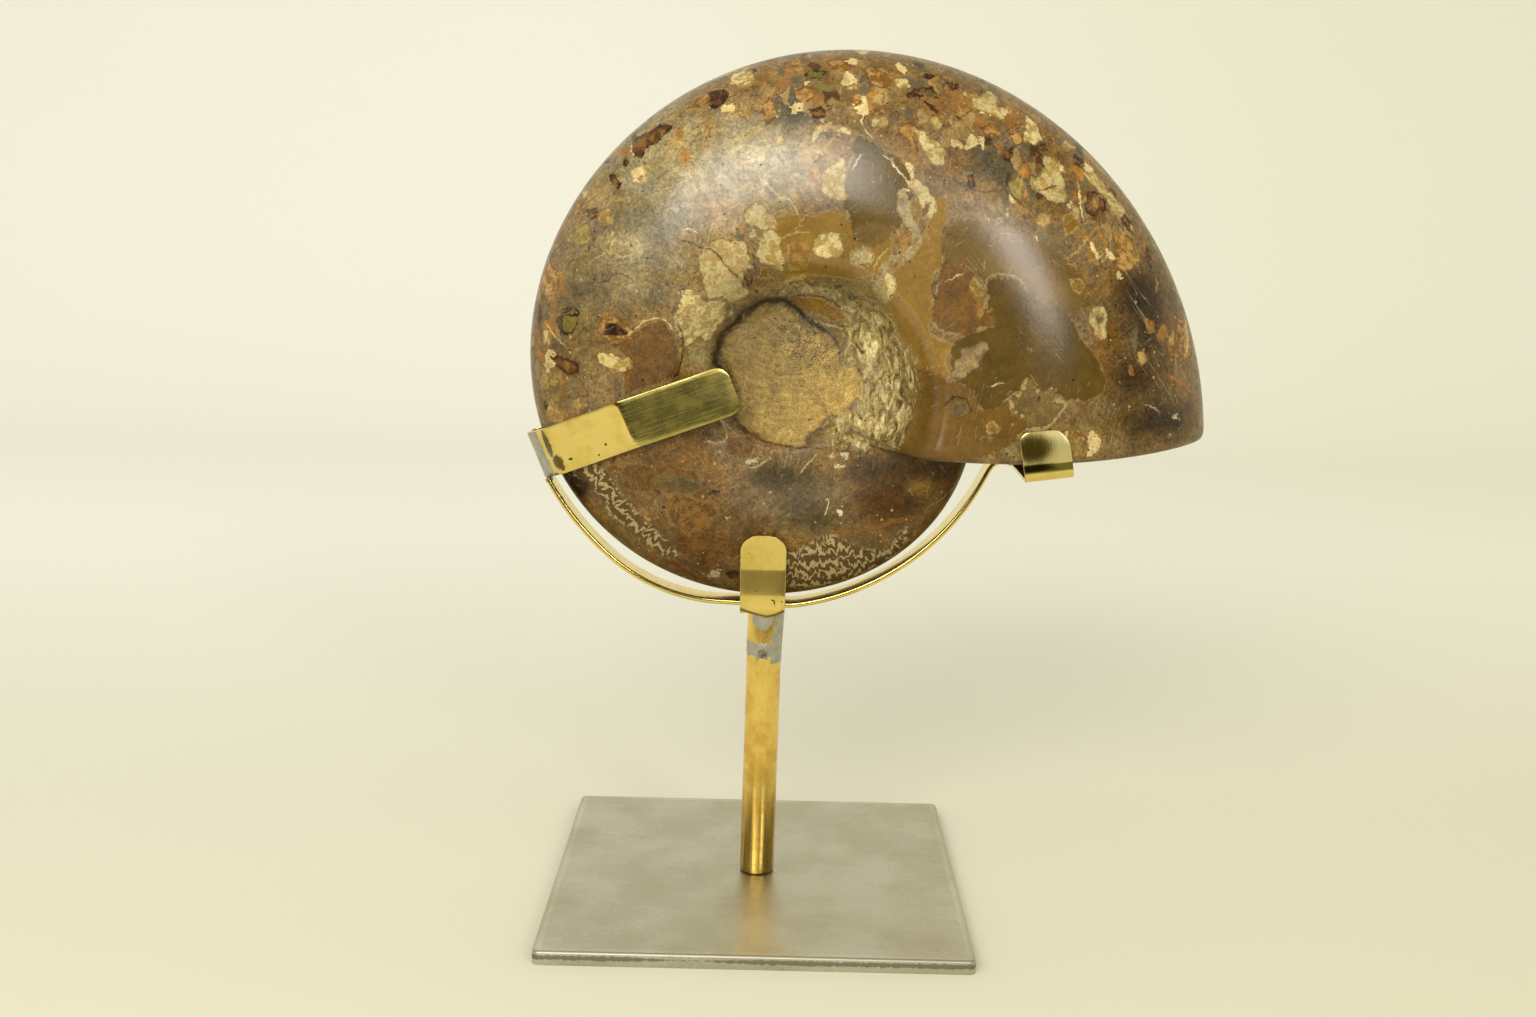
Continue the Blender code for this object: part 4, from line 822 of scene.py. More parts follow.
# The cup, the crumbling chalk beside it and the frilled sutures on the lower whorl
front = spots[:, 1] < 0.0
areas = {}
for name, texts in {"cup": (CUP_OUTLINE,), "crumbly": (CRUMBLY_OUTLINE, RING_OUTLINE), "lace": LACE_OUTLINES}.items():
    depth = np.full(count, 9.0)
    for text in texts:
        near, away = outline_depth(places, text)
        depth[near] = np.minimum(depth[near], away)
    areas[name] = np.clip(np.where(front, depth, 9.0), -9.0, 9.0)
    write_attribute(mesh, name, areas[name])

# Relief: growth ridges and a rough floor in the cup, a crumbled step round it, chalk broken away
inward = np.zeros(count)
cup_in = np.clip(-areas["cup"] / 2.0, 0.0, 1.0)
crumbled = np.clip(-areas["crumbly"] / 2.5, 0.0, 1.0)
for i in np.nonzero((cup_in > 0) | (crumbled > 0) | (np.abs(areas["cup"]) < 3.0))[0]:
    x, z = flat[i]
    rough = noise.fractal(Vector((x / 3.0, z / 3.0, 0.0)), 1.0, 2.1, 4)
    ridge_at = math.hypot((x - 6.0) / 1.15, z - 218.0)
    ridges = math.sin(ridge_at * 1.9 + 1.6 * noise.noise(Vector((x / 9.0, z / 9.0, 5.0))))
    inward[i] += cup_in[i] * (0.00026 * rough + 0.00005 * ridges)
    worn = noise.fractal(Vector((x / 4.5, z / 9.0, 2.0)), 1.0, 2.2, 5)
    inward[i] += crumbled[i] * (0.0009 + 0.0016 * worn)
    crack = math.exp(-((areas["cup"][i] - 0.2) ** 2) / 1.2)
    upper_left = min(max((z - 190.0 - 0.75 * (x - 6.0)) / 14.0, 0.12), 1.0)
    inward[i] += 0.0014 * upper_left * math.exp(-(((areas["cup"][i] + 1.2) / 1.3) ** 2))
    inward[i] += 0.0011 * crack * upper_left * (0.7 + 0.5 * worn)
spots[:, 1] += np.where(front, inward, 0.0)

# Near the hub the lip's row of points lies on the first whorl's finer one. The first whorl is drawn
# to the lip's row there, so that no crack opens between them.
out_x, out_z = spots[:, 0] - POLE_X, spots[:, 2] - POLE_Z
out = np.hypot(out_x, out_z)
dip = np.arcsin((LIP_DROP + LIP_BOW * np.sin(np.pi * out / LIP_RADIUS)) / np.maximum(out, LIP_INNER))
under = -(dip + np.arctan2(out_z, out_x)) * out
seam = np.nonzero(front & (np.abs(under) < 3e-6))[0]
knots = out[seam].max() * np.arange(28) * 0.5 / 0.44 / (FLANK_ROWS - 1)
levels = [spots[seam[np.argmin(np.abs(out[seam] - knot))], 1] for knot in knots]
close = np.nonzero(front & (under > -3e-6) & (under < 0.002) & (out < 1.05 * HUB_RADIUS))[0]
pull = np.exp(-((under[close] / 0.0006) ** 2)) * np.clip((1.05 * HUB_RADIUS - out[close]) / 0.001, 0.0, 1.0)
spots[close, 1] += pull * (np.interp(out[close], knots, levels) - spots[close, 1])
mesh.vertices.foreach_set("co", spots.astype(np.float32).ravel())
mesh.shade_smooth()
mesh.set_sharp_from_angle(angle=math.radians(40))
mesh.update()
# Polished fossil stone: ground and buffed limestone matrix with shell and calcite in it. A dark,
# warm, mottled body under a soft, slightly uneven gloss, with open pits and hairline scratches.
tree = stone_tree
mm = add(tree, "ShaderNodeVectorMath", add(tree, "ShaderNodeTexCoord").outputs["Object"], (1000.0, 1000.0, 1000.0),
    operation="MULTIPLY")
wobble = add(tree, "ShaderNodeTexNoise", mm, 0.9, 3.0, 0.62)
broad = add(tree, "ShaderNodeTexNoise", mm, 0.085, 4.0, 0.6)
middling = add(tree, "ShaderNodeTexNoise", mm, 0.30, 4.0, 0.65)
grain = add(tree, "ShaderNodeTexNoise", mm, 2.2, 3.0, 0.7)
rag = add(tree, "SUBTRACT", wobble, 0.5)
jostle = add(tree, "ShaderNodeVectorMath", wobble.outputs["Color"], (3.0, 3.0, 3.0), operation="MULTIPLY")
jostled = add(tree, "ShaderNodeVectorMath", mm, jostle, operation="ADD")
fine_tone = add(tree, "ShaderNodeMapRange", grain, 0.3, 0.7, 0.76, 1.24)

# The matrix: clouds 12 and 3 mm wide, grains of 0.8 mm, ochre iron stain between greyer parts, and
# darker seams where it is muddier
grains = add(tree, "ShaderNodeSeparateColor", add(tree, "ShaderNodeTexVoronoi", mm, 1.25).outputs["Color"])
grain_tone = add(tree, "ShaderNodeMapRange", grains.outputs["Red"], 0.0, 1.0, 0.76, 1.24)
clouds = add(tree, "MULTIPLY", add(tree, "ShaderNodeMapRange", broad, 0.3, 0.7, 0.66, 1.34),
    add(tree, "ShaderNodeMapRange", middling, 0.3, 0.7, 0.78, 1.22))
stain = add(tree, "ShaderNodeTexNoise", mm, 0.06, 6.0, 0.68, at={"Distortion": 0.9})
stained = add(tree, "ShaderNodeMix", add(tree, "ShaderNodeMapRange", stain, 0.42, 0.60, 0.0, 1.0), (0.97, 1.0, 1.07, 1.0),
    (1.08, 0.97, 0.68, 1.0), data_type="RGBA")
# The ground's colour carries painted shade on the right flank and the lower whorl, and part of a painted highlight on
# the upper left
ground_and_light_at = add(tree, "ShaderNodeAttribute", attribute_name="ground_and_painted_light")
tinted = add(tree, "ShaderNodeVectorMath", ground_and_light_at.outputs["Color"], stained, operation="MULTIPLY")
muddy = add(tree, "ShaderNodeTexNoise", mm, 0.13, 6.0, 0.72, at={"Distortion": 1.6})
mud = add(tree, "ShaderNodeMapRange", add(tree, "ABSOLUTE", add(tree, "SUBTRACT", muddy, 0.52)), 0.0, 0.045, 0.60, 1.04)
pepper = add(tree, "ShaderNodeMapRange", grain, 0.33, 0.42, 0.50, 1.04)
tone = add(tree, "MULTIPLY", add(tree, "MULTIPLY", clouds, mud), add(tree, "MULTIPLY", grain_tone, pepper))
colour = add(tree, "ShaderNodeVectorMath", tinted, tone, operation="SCALE")
specks = add(tree, "ShaderNodeTexVoronoi", mm, 0.55)
speck_kind = add(tree, "ShaderNodeSeparateColor", specks.outputs["Color"])
in_speck = add(tree, "LESS_THAN", specks.outputs["Distance"], add(tree, "MULTIPLY", speck_kind.outputs["Green"], 0.32))
dark_speck = add(tree, "MULTIPLY", in_speck, add(tree, "GREATER_THAN", speck_kind.outputs["Red"], 0.74))
pale_speck = add(tree, "MULTIPLY", in_speck, add(tree, "LESS_THAN", speck_kind.outputs["Red"], 0.18))
colour = add(tree, "ShaderNodeMix", add(tree, "MULTIPLY", dark_speck, 0.65), colour, linear("#2a1d0e"), data_type="RGBA")
colour = add(tree, "ShaderNodeMix", add(tree, "MULTIPLY", pale_speck, 0.5), colour, linear("#b0a070"), data_type="RGBA")

# Rubble: broken bits of shell and limestone, 3 to 8 mm, thickest along the rim
leaning_mm = add(tree, "ShaderNodeMapping", jostled, None, (0.0, 0.7, 0.0), (1.25, 1.0, 0.75))
bits = add(tree, "ShaderNodeTexVoronoi", leaning_mm, 0.20)
seams = add(tree, "ShaderNodeTexVoronoi", leaning_mm, 0.20, feature="DISTANCE_TO_EDGE")
bit_kind = add(tree, "ShaderNodeSeparateColor", bits.outputs["Color"])
bit_ramp = add(tree, "ShaderNodeValToRGB", bit_kind.outputs["Red"])
bit_ramp.color_ramp.interpolation = "CONSTANT"
for place, code in ((0.10, "#7a5524"), (0.28, "#8b7140"), (0.46, "#5f4825"), (0.60, "#92641f"), (0.72, "#5a4e34"), (0.82, "#bda66e")):
    bit_ramp.color_ramp.elements.new(place).color = linear(code)
bit_ramp.color_ramp.elements[0].color = linear("#3a2410")
bit_ramp.color_ramp.elements[-1].color = linear("#a3813e")
bit_tone = add(tree, "MULTIPLY", add(tree, "MULTIPLY", clouds, fine_tone), add(tree, "ShaderNodeMapRange", wobble, 0.3, 0.7, 0.72, 1.28))
bit_colour = add(tree, "ShaderNodeVectorMath", bit_ramp.outputs["Color"], bit_tone, operation="SCALE")
rubble_at = add(tree, "ShaderNodeAttribute", attribute_name="rubble")
there = add(tree, "LESS_THAN", bit_kind.outputs["Green"], rubble_at.outputs["Fac"])
solid = add(tree, "ShaderNodeMapRange", seams, 0.02, 0.06, 0.0, 0.85)
colour = add(tree, "ShaderNodeMix", add(tree, "MULTIPLY", there, solid), colour, bit_colour, data_type="RGBA")

# Marks: a body mottled with a second colour, a ragged edge and an outline that comes and goes. The
# clear calcite, smoother than the rest, is almost even in tone.
rough = add(tree, "ShaderNodeMapRange", muddy, 0.36, 0.62, 0.17, 0.36)
cells = add(tree, "ShaderNodeTexVoronoi", jostled, 0.30, feature="DISTANCE_TO_EDGE")
cracked = add(tree, "ShaderNodeMapRange", cells, 0.0, 0.07, -0.22, 0.03)
mottle = add(tree, "ShaderNodeMapRange", middling, 0.44, 0.56, 0.0, 1.0, interpolation_type="SMOOTHSTEP")
swirls = add(tree, "ADD", add(tree, "ShaderNodeMapRange", wobble, 0.3, 0.7, -0.16, 0.16),
    add(tree, "ShaderNodeMapRange", middling, 0.3, 0.7, -0.16, 0.16))
broken = add(tree, "ShaderNodeMapRange", add(tree, "ShaderNodeTexNoise", mm, 0.36, 2.0), 0.36, 0.62, 0.0, 1.7)
uneven = add(tree, "MULTIPLY_ADD", add(tree, "SUBTRACT", middling, 0.5), 2.2, add(tree, "MULTIPLY", rag, 2.8))
for layer, soft in (("bed", 0.26), ("shard", 0.16)):
    depth, body, second, outline = [
        add(tree, "ShaderNodeAttribute", attribute_name=layer + part) for part in ("_depth", "_body", "_second", "_outline")
    ]
    opaque = add(tree, "ShaderNodeMapRange", second.outputs["Alpha"], 0.20, 0.24, 0.42, 1.0)
    edge = add(tree, "MULTIPLY_ADD", uneven, body.outputs["Alpha"], depth.outputs["Fac"])
    inner = add(tree, "ShaderNodeMix", add(tree, "MULTIPLY", mottle, opaque), body.outputs["Color"], second.outputs["Color"],
        data_type="RGBA")
    marking = add(tree, "ADD", add(tree, "ADD", cracked, swirls), add(tree, "SUBTRACT", fine_tone, 1.0))
    marked = add(tree, "MULTIPLY_ADD", marking, opaque, add(tree, "ShaderNodeMapRange", broad, 0.3, 0.7, 0.80, 1.22))
    toned = add(tree, "ShaderNodeVectorMath", inner, marked, operation="SCALE")
    band = add(tree, "ShaderNodeMapRange", add(tree, "MULTIPLY_ADD", outline.outputs["Alpha"], broken, edge), -0.2, 0.2, 0.0, 0.85)
    edged = add(tree, "ShaderNodeMix", band, toned, outline.outputs["Color"], data_type="RGBA")
    cover = add(tree, "ShaderNodeMapRange", edge, soft, -soft, 0.0, 1.0)
    colour = add(tree, "ShaderNodeMix", cover, colour, edged, data_type="RGBA")
    rough = add(tree, "ShaderNodeMix", cover, rough, second.outputs["Alpha"], data_type="FLOAT")

# Veins, cracks and scratches
line_side = add(tree, "ShaderNodeAttribute", attribute_name="line_side")
line_paint = add(tree, "ShaderNodeAttribute", attribute_name="line_paint")
off = add(tree, "ABSOLUTE", add(tree, "MULTIPLY_ADD", uneven, 0.6, line_side.outputs["Fac"]))
within = add(tree, "SUBTRACT", add(tree, "MULTIPLY", line_paint.outputs["Alpha"], 0.5), off)
patchy = add(tree, "MULTIPLY", add(tree, "ShaderNodeMapRange", within, -0.12, 0.2, 0.0, 0.9),
    add(tree, "ShaderNodeMapRange", middling, 0.38, 0.52, 0.35, 1.0))
line_colour = add(tree, "ShaderNodeVectorMath", line_paint.outputs["Color"], add(tree, "MULTIPLY", grain_tone, fine_tone),
    operation="SCALE")
colour = add(tree, "ShaderNodeMix", patchy, colour, line_colour, data_type="RGBA")

# Frilled suture lines, like moss, on the lower whorl
flat_at = add(tree, "ShaderNodeSeparateXYZ", add(tree, "ShaderNodeVectorMath", mm,
    (POLE_X * 1000.0, 0.0, POLE_Z * 1000.0), operation="SUBTRACT"))
round_mm = add(tree, "MULTIPLY", add(tree, "ARCTAN2", flat_at.outputs["Z"], flat_at.outputs["X"]), 78.0)
out_mm = add(tree, "ShaderNodeVectorMath", add(tree, "ShaderNodeCombineXYZ", flat_at.outputs["X"], 0.0, flat_at.outputs["Z"]),
    operation="LENGTH")
swept = add(tree, "ShaderNodeCombineXYZ", add(tree, "MULTIPLY", round_mm, 0.27), add(tree, "MULTIPLY", out_mm, 0.12), 0.0)
fronds = add(tree, "ShaderNodeTexNoise", swept, 1.0, 2.0, 0.55, at={"Distortion": 0.9})
level = add(tree, "MULTIPLY_ADD", fronds, 3.6, add(tree, "MULTIPLY", out_mm.outputs["Value"], 0.22))
off_line = add(tree, "ABSOLUTE", add(tree, "SUBTRACT", add(tree, "FRACT", level), 0.5))
frond = add(tree, "ShaderNodeMapRange", off_line, 0.13, 0.22, 1.0, 0.0, interpolation_type="SMOOTHSTEP")
lace = add(tree, "ShaderNodeMix", frond, linear("#4c3817"), linear("#9f9066"), data_type="RGBA")
lace_at = add(tree, "ShaderNodeAttribute", attribute_name="lace")
in_lace = add(tree, "ShaderNodeMapRange", add(tree, "MULTIPLY_ADD", rag, 6.0, lace_at.outputs["Fac"]), 0.5, -1.5, 0.0, 0.85)
colour = add(tree, "ShaderNodeMix", in_lace, colour, lace, data_type="RGBA")

# Chalk and broken matrix beside the cup, with white chips and dark gaps
tall = add(tree, "ShaderNodeMapping", mm, None, None, (1.3, 1.0, 0.6))
ridged = add(tree, "ShaderNodeTexNoise", tall, 0.25, 7.0, 0.72, at={"Distortion": 1.3})
chalk_ramp = add(tree, "ShaderNodeValToRGB", ridged)
for place, code in ((0.40, "#57461f"), (0.46, "#8a7540"), (0.54, "#a99660"), (0.62, "#cdbf8e")):
    chalk_ramp.color_ramp.elements.new(place).color = linear(code)
for element, place, code in zip((chalk_ramp.color_ramp.elements[0], chalk_ramp.color_ramp.elements[-1]), (0.33, 0.72), ("#2a1f0e", "#d8cfa8")):
    element.position, element.color = place, linear(code)
pitted = add(tree, "ShaderNodeMapRange", grain, 0.30, 0.52, 0.55, 1.06)
chalk_tone = add(tree, "MULTIPLY", pitted, add(tree, "ShaderNodeMapRange", muddy, 0.38, 0.60, 0.62, 1.12))
# It is greyer in the ring over the cup's top, and darker in the corner below the cup
for spot, near, far, low, high in (((40.0, -30.0, 190.0), 24.0, 40.0, 1.04, 0.62), ((25.0, -30.0, 173.0), 3.0, 10.0, 0.42, 1.0)):
    from_spot = add(tree, "ShaderNodeVectorMath", mm, spot, operation="DISTANCE")
    chalk_tone = add(tree, "MULTIPLY", chalk_tone, add(tree, "ShaderNodeMapRange", from_spot, near, far, low, high))
chalk = add(tree, "ShaderNodeVectorMath", chalk_ramp.outputs["Color"], chalk_tone, operation="SCALE")
crumbly_at = add(tree, "ShaderNodeAttribute", attribute_name="crumbly")
in_chalk = add(tree, "ShaderNodeMapRange", add(tree, "MULTIPLY_ADD", rag, 8.0, crumbly_at.outputs["Fac"]), 1.5, -2.0, 0.0, 1.0,
    interpolation_type="SMOOTHSTEP")
in_chalk = add(tree, "MULTIPLY", in_chalk, add(tree, "ShaderNodeMapRange", muddy, 0.41, 0.50, 0.30, 1.0))
colour = add(tree, "ShaderNodeMix", in_chalk, colour, chalk, data_type="RGBA")

# The cup's natural floor: tan, with growth lines that bend round its top. From olive-brown at its
# upper left it turns golden to the right and below, partly its own colour and partly painted shade
# and light across the hollow, which the lamps reach from the upper left
parts = add(tree, "ShaderNodeSeparateXYZ", mm)
golden = add(tree, "MULTIPLY_ADD", parts.outputs["X"], 0.022, add(tree, "MULTIPLY_ADD", parts.outputs["Z"], -0.014, 2.33))
golden = add(tree, "ShaderNodeMapRange", add(tree, "MULTIPLY_ADD", broad, 0.9, golden), 0.0, 1.0, 0.0, 1.0)
floor_colour = add(tree, "ShaderNodeMix", golden, linear("#7f6833"), linear("#b3954f"), data_type="RGBA")
from_top = add(tree, "ShaderNodeVectorMath", mm, (8.0, 0.0, 222.0), operation="DISTANCE")
layers = add(tree, "ShaderNodeTexNoise", mm, 0.22, 5.0, 0.7, at={"Distortion": 1.0})
growth = add(tree, "SINE", add(tree, "MULTIPLY_ADD", layers, 19.0, add(tree, "MULTIPLY", from_top, 2.7)))
growth_tone = add(tree, "MULTIPLY_ADD", add(tree, "MULTIPLY", growth, add(tree, "ShaderNodeMapRange", middling, 0.40, 0.6, 0.02, 0.18)),
    1.0, add(tree, "ShaderNodeMapRange", layers, 0.32, 0.66, 0.60, 1.32))
cup_tone = add(tree, "MULTIPLY", growth_tone, add(tree, "MULTIPLY", pitted, add(tree, "ShaderNodeMapRange", middling, 0.3, 0.7, 0.82, 1.18)))
cup_colour = add(tree, "ShaderNodeVectorMath", floor_colour, cup_tone, operation="SCALE")
cup_at = add(tree, "ShaderNodeAttribute", attribute_name="cup")
# Painted shade just inside the cup's rim, strongest at its upper left, where the rim shades the hollow from the lamps
rim_shade = add(tree, "ShaderNodeMapRange", add(tree, "MULTIPLY_ADD", uneven, 2.2, cup_at.outputs["Fac"]), -3.0, -0.2, 0.0, 1.0)
upper_left = add(tree, "MULTIPLY_ADD", parts.outputs["X"], -0.03, add(tree, "MULTIPLY_ADD", parts.outputs["Z"], 0.04, -7.35))
shade_and_dirt = add(tree, "MULTIPLY", rim_shade, add(tree, "ShaderNodeMapRange", upper_left, -0.2, 0.9, 0.16, 0.95))
flecks = add(tree, "MULTIPLY", add(tree, "ShaderNodeMapRange", add(tree, "MULTIPLY_ADD", growth, -0.02, grain), 0.49, 0.42, 0.0, 0.85), add(tree, "ShaderNodeMapRange",
    add(tree, "ShaderNodeVectorMath", mm, (14.0, -12.0, 205.0), operation="DISTANCE"), 15.0, 4.0, 0.28, 1.0))
shade_and_dirt = add(tree, "MAXIMUM", shade_and_dirt, flecks)
# Dirt left in the growth lines, in dashes 1 to 4 mm long
along_lines = add(tree, "ShaderNodeCombineXYZ", add(tree, "MULTIPLY", from_top, 1.5), add(tree, "MULTIPLY", parts.outputs["X"], 0.28))
dashes = add(tree, "ShaderNodeTexNoise", along_lines, 1.0, 3.0, 0.75, at={"Distortion": 0.5})
dashes = add(tree, "MULTIPLY", add(tree, "ShaderNodeMapRange", add(tree, "MULTIPLY_ADD", grain, 0.6, dashes), 0.77, 0.68, 0.0, 0.9),
    add(tree, "ShaderNodeMapRange", add(tree, "ShaderNodeVectorMath", mm, (13.0, -12.0, 207.0), operation="DISTANCE"), 20.0, 7.0, 0.10, 1.0))
shade_and_dirt = add(tree, "MAXIMUM", shade_and_dirt, dashes)
# The dark mix holds the painted shade under the rim together with the real flecks and the dirt in the growth lines
cup_colour = add(tree, "ShaderNodeMix", shade_and_dirt, cup_colour, linear("#2c210f"), data_type="RGBA")
# Darker in a band just outside the cup's upper-left edge
upper_left_step_band = add(tree, "MULTIPLY", add(tree, "ShaderNodeMapRange", add(tree, "MULTIPLY_ADD", uneven, 2.0, cup_at.outputs["Fac"]), 5.0, 1.0, 0.0, 0.8),
    add(tree, "ShaderNodeMapRange", upper_left, -0.4, 0.7, 0.0, 1.0))
colour = add(tree, "ShaderNodeMix", upper_left_step_band, colour, linear("#4e3f22"), data_type="RGBA")
in_cup = add(tree, "ShaderNodeMapRange", add(tree, "MULTIPLY_ADD", rag, 2.4, cup_at.outputs["Fac"]), 0.2, -0.5, 0.0, 1.0)
colour = add(tree, "ShaderNodeMix", in_cup, colour, cup_colour, data_type="RGBA")
cup_rim = add(tree, "ShaderNodeMapRange", add(tree, "ABSOLUTE", add(tree, "MULTIPLY_ADD", rag, 3.0, add(tree, "ADD", cup_at.outputs["Fac"], -0.4))), 0.35, 1.0,
    1.0, 0.0)
cup_rim = add(tree, "MULTIPLY", cup_rim, add(tree, "ShaderNodeMapRange", upper_left, -0.15, 0.55, 0.10, 0.95))
colour = add(tree, "ShaderNodeMix", cup_rim, colour, linear("#1f160a"), data_type="RGBA")
rough = add(tree, "MULTIPLY_ADD", add(tree, "ShaderNodeMapRange", parts.outputs["Z"], 180.0, 166.0, 0.0, 1.0), 0.20, rough)
rough = add(tree, "ShaderNodeMix", in_chalk, rough, 0.75, data_type="FLOAT")
rough = add(tree, "ShaderNodeMix", in_cup, rough, 0.62, data_type="FLOAT")

# Open pits and hairline scratches
pits = add(tree, "ShaderNodeTexVoronoi", mm, 0.42)
pit_kind = add(tree, "ShaderNodeSeparateColor", pits.outputs["Color"])
pit_wide = add(tree, "MULTIPLY", add(tree, "POWER", pit_kind.outputs["Blue"], 3.5), add(tree, "ShaderNodeMapRange", stain, 0.38, 0.62, 0.22, 0.08))
pit = add(tree, "LESS_THAN", add(tree, "MULTIPLY_ADD", rag, 0.12, pits.outputs["Distance"]), pit_wide)
scratch = None
for turn, long in ((0.6, 0.035), (2.2, 0.05), (1.35, 0.04)):
    turned = add(tree, "ShaderNodeMapping", mm, None, (0.0, turn, 0.0))
    drawn = add(tree, "ShaderNodeVectorMath", turned, (long, 0.02, 0.9), operation="MULTIPLY")
    hair = add(tree, "ShaderNodeTexNoise", drawn, 1.0, 0.0, at={"Distortion": 0.15})
    thin = add(tree, "ShaderNodeMapRange", add(tree, "ABSOLUTE", add(tree, "SUBTRACT", hair, 0.5)), 0.0, 0.011, 1.0, 0.0)
    one = add(tree, "MULTIPLY", thin, add(tree, "GREATER_THAN", add(tree, "ShaderNodeTexNoise", turned, 0.05, 1.0), 0.585))
    scratch = one if scratch is None else add(tree, "MAXIMUM", scratch, one)
colour = add(tree, "ShaderNodeMix", add(tree, "MULTIPLY", scratch, 0.25), colour, linear("#c8bb96"), data_type="RGBA")
colour = add(tree, "ShaderNodeMix", add(tree, "MULTIPLY", pit, 0.85), colour, linear("#191007"), data_type="RGBA")
rough = add(tree, "MULTIPLY_ADD", scratch, 0.12, rough)

relief = add(tree, "MULTIPLY_ADD", grain, 0.25, add(tree, "MULTIPLY", middling, 0.5))
relief = add(tree, "SUBTRACT", relief, add(tree, "MULTIPLY", pit, 0.8))
relief = add(tree, "MULTIPLY_ADD", add(tree, "MULTIPLY", add(tree, "MAXIMUM", in_chalk, in_cup), add(tree, "ADD", grain, ridged)), 3.0, relief)
bump = add(tree, "ShaderNodeBump", at={"Strength": 0.45, "Distance": 0.00014, "Height": relief})
# The polish is best on the crown and tires toward the rim, the lower whorl and the mouth
from_crown = add(tree, "ShaderNodeVectorMath", mm, (10.0, -60.0, 258.0), operation="DISTANCE")
shine = add(tree, "ShaderNodeMapRange", from_crown, 60.0, 120.0, 0.56, 0.20)
shader = add(tree, "ShaderNodeBsdfPrincipled", colour,
    at={"Roughness": rough, "Normal": bump, "IOR": 1.5, "Specular IOR Level": shine})
add(tree, "ShaderNodeOutputMaterial", shader)

# Cut and polished chambers: the spiral sawn through its middle. Brown shell walls with a cream
# crust of calcite, amber and smoky fillings, and the matrix that fills the last half turn.
tree = chamber_tree
mm = add(tree, "ShaderNodeVectorMath", add(tree, "ShaderNodeTexCoord").outputs["Object"], (1000.0, 1000.0, 1000.0),
    operation="MULTIPLY")
wobble = add(tree, "ShaderNodeTexNoise", mm, 0.30, 4.0, 0.62)
broad = add(tree, "ShaderNodeTexNoise", mm, 0.09, 5.0, 0.62)
grain = add(tree, "ShaderNodeTexNoise", mm, 2.0, 3.0, 0.7)
moved = add(tree, "ShaderNodeVectorMath", wobble.outputs["Color"], (3.4, 3.4, 3.4), operation="MULTIPLY")
moved = add(tree, "ShaderNodeVectorMath", mm, moved, operation="ADD")
moved = add(tree, "ShaderNodeVectorMath", moved, (1.7 + POLE_X * 1000.0, 0.0, 1.7 + POLE_Z * 1000.0), operation="SUBTRACT")
flat_at = add(tree, "ShaderNodeSeparateXYZ", moved)
turned = add(tree, "ARCTAN2", flat_at.outputs["Z"], flat_at.outputs["X"])
out_mm = add(tree, "ShaderNodeVectorMath", add(tree, "ShaderNodeCombineXYZ", flat_at.outputs["X"], 0.0, flat_at.outputs["Z"]),
    operation="LENGTH")
# The turn at a place, counted inward from the outline: whole turns tell the whorl, the rest how far across
wound = add(tree, "FLOORED_MODULO", add(tree, "SUBTRACT", turned, LIP_START), 2.0 * math.pi)
oval = add(tree, "COSINE", add(tree, "MULTIPLY_ADD", turned, 2.0, OVAL_ANGLE))
lobes = add(tree, "COSINE", add(tree, "MULTIPLY_ADD", turned, 3.0, LOBE_ANGLE))
uneven = add(tree, "MULTIPLY_ADD", lobes, LOBE_SHARE, add(tree, "MULTIPLY_ADD", oval, OVAL_SHARE, 1.0))
outline = add(tree, "MULTIPLY", add(tree, "MULTIPLY", add(tree, "EXPONENT", add(tree, "MULTIPLY", wound, -GROWTH)), LIP_RADIUS * 1000.0), uneven)
turns_in = add(tree, "LOGARITHM", add(tree, "DIVIDE", outline, out_mm), math.exp(2.0 * math.pi * GROWTH))
whorl_at = add(tree, "FLOOR", turns_in)
across = add(tree, "FRACT", turns_in)
along = add(tree, "MULTIPLY_ADD", whorl_at, 2.0 * math.pi, wound)
# Walls between the chambers, 17 degrees apart and bowed
bowed = add(tree, "MULTIPLY", add(tree, "MULTIPLY", across, add(tree, "SUBTRACT", 1.0, across)), 3.4)
chamber = add(tree, "ADD", add(tree, "DIVIDE", along, math.radians(17.0)), bowed)
chambered = add(tree, "GREATER_THAN", along, math.radians(205.0))
part = add(tree, "FRACT", chamber)
to_wall = add(tree, "MULTIPLY", add(tree, "MINIMUM", part, add(tree, "SUBTRACT", 1.0, part)), add(tree, "MULTIPLY", out_mm, 0.28))
to_wall = add(tree, "MULTIPLY_ADD", add(tree, "SUBTRACT", 1.0, chambered), 50.0, to_wall)
to_shell = add(tree, "MULTIPLY", add(tree, "MINIMUM", across, add(tree, "SUBTRACT", 1.0, across)), add(tree, "MULTIPLY", out_mm, 0.8))
to_edge = add(tree, "MINIMUM", to_wall, add(tree, "MULTIPLY", to_shell, 0.6))
kinds = add(tree, "ShaderNodeTexWhiteNoise", add(tree, "ShaderNodeCombineXYZ", add(tree, "FLOOR", chamber), whorl_at, 3.0))
filling = add(tree, "ShaderNodeValToRGB", kinds)
filling.color_ramp.interpolation = "CONSTANT"
for place, code in ((0.16, "#8d7742"), (0.34, "#5c4826"), (0.50, "#94702f"), (0.66, "#a3905c"), (0.82, "#6a5a34")):
    filling.color_ramp.elements.new(place).color = linear(code)
filling.color_ramp.elements[0].color = linear("#7c5620")
filling.color_ramp.elements[-1].color = linear("#49351a")
mud = add(tree, "ShaderNodeMix", add(tree, "ShaderNodeMapRange", broad, 0.38, 0.62, 0.0, 1.0), linear("#5e4726"), linear("#8a7444"), data_type="RGBA")
bits = add(tree, "ShaderNodeTexVoronoi", mm, 0.17)
bit_kind = add(tree, "ShaderNodeSeparateColor", bits.outputs["Color"])
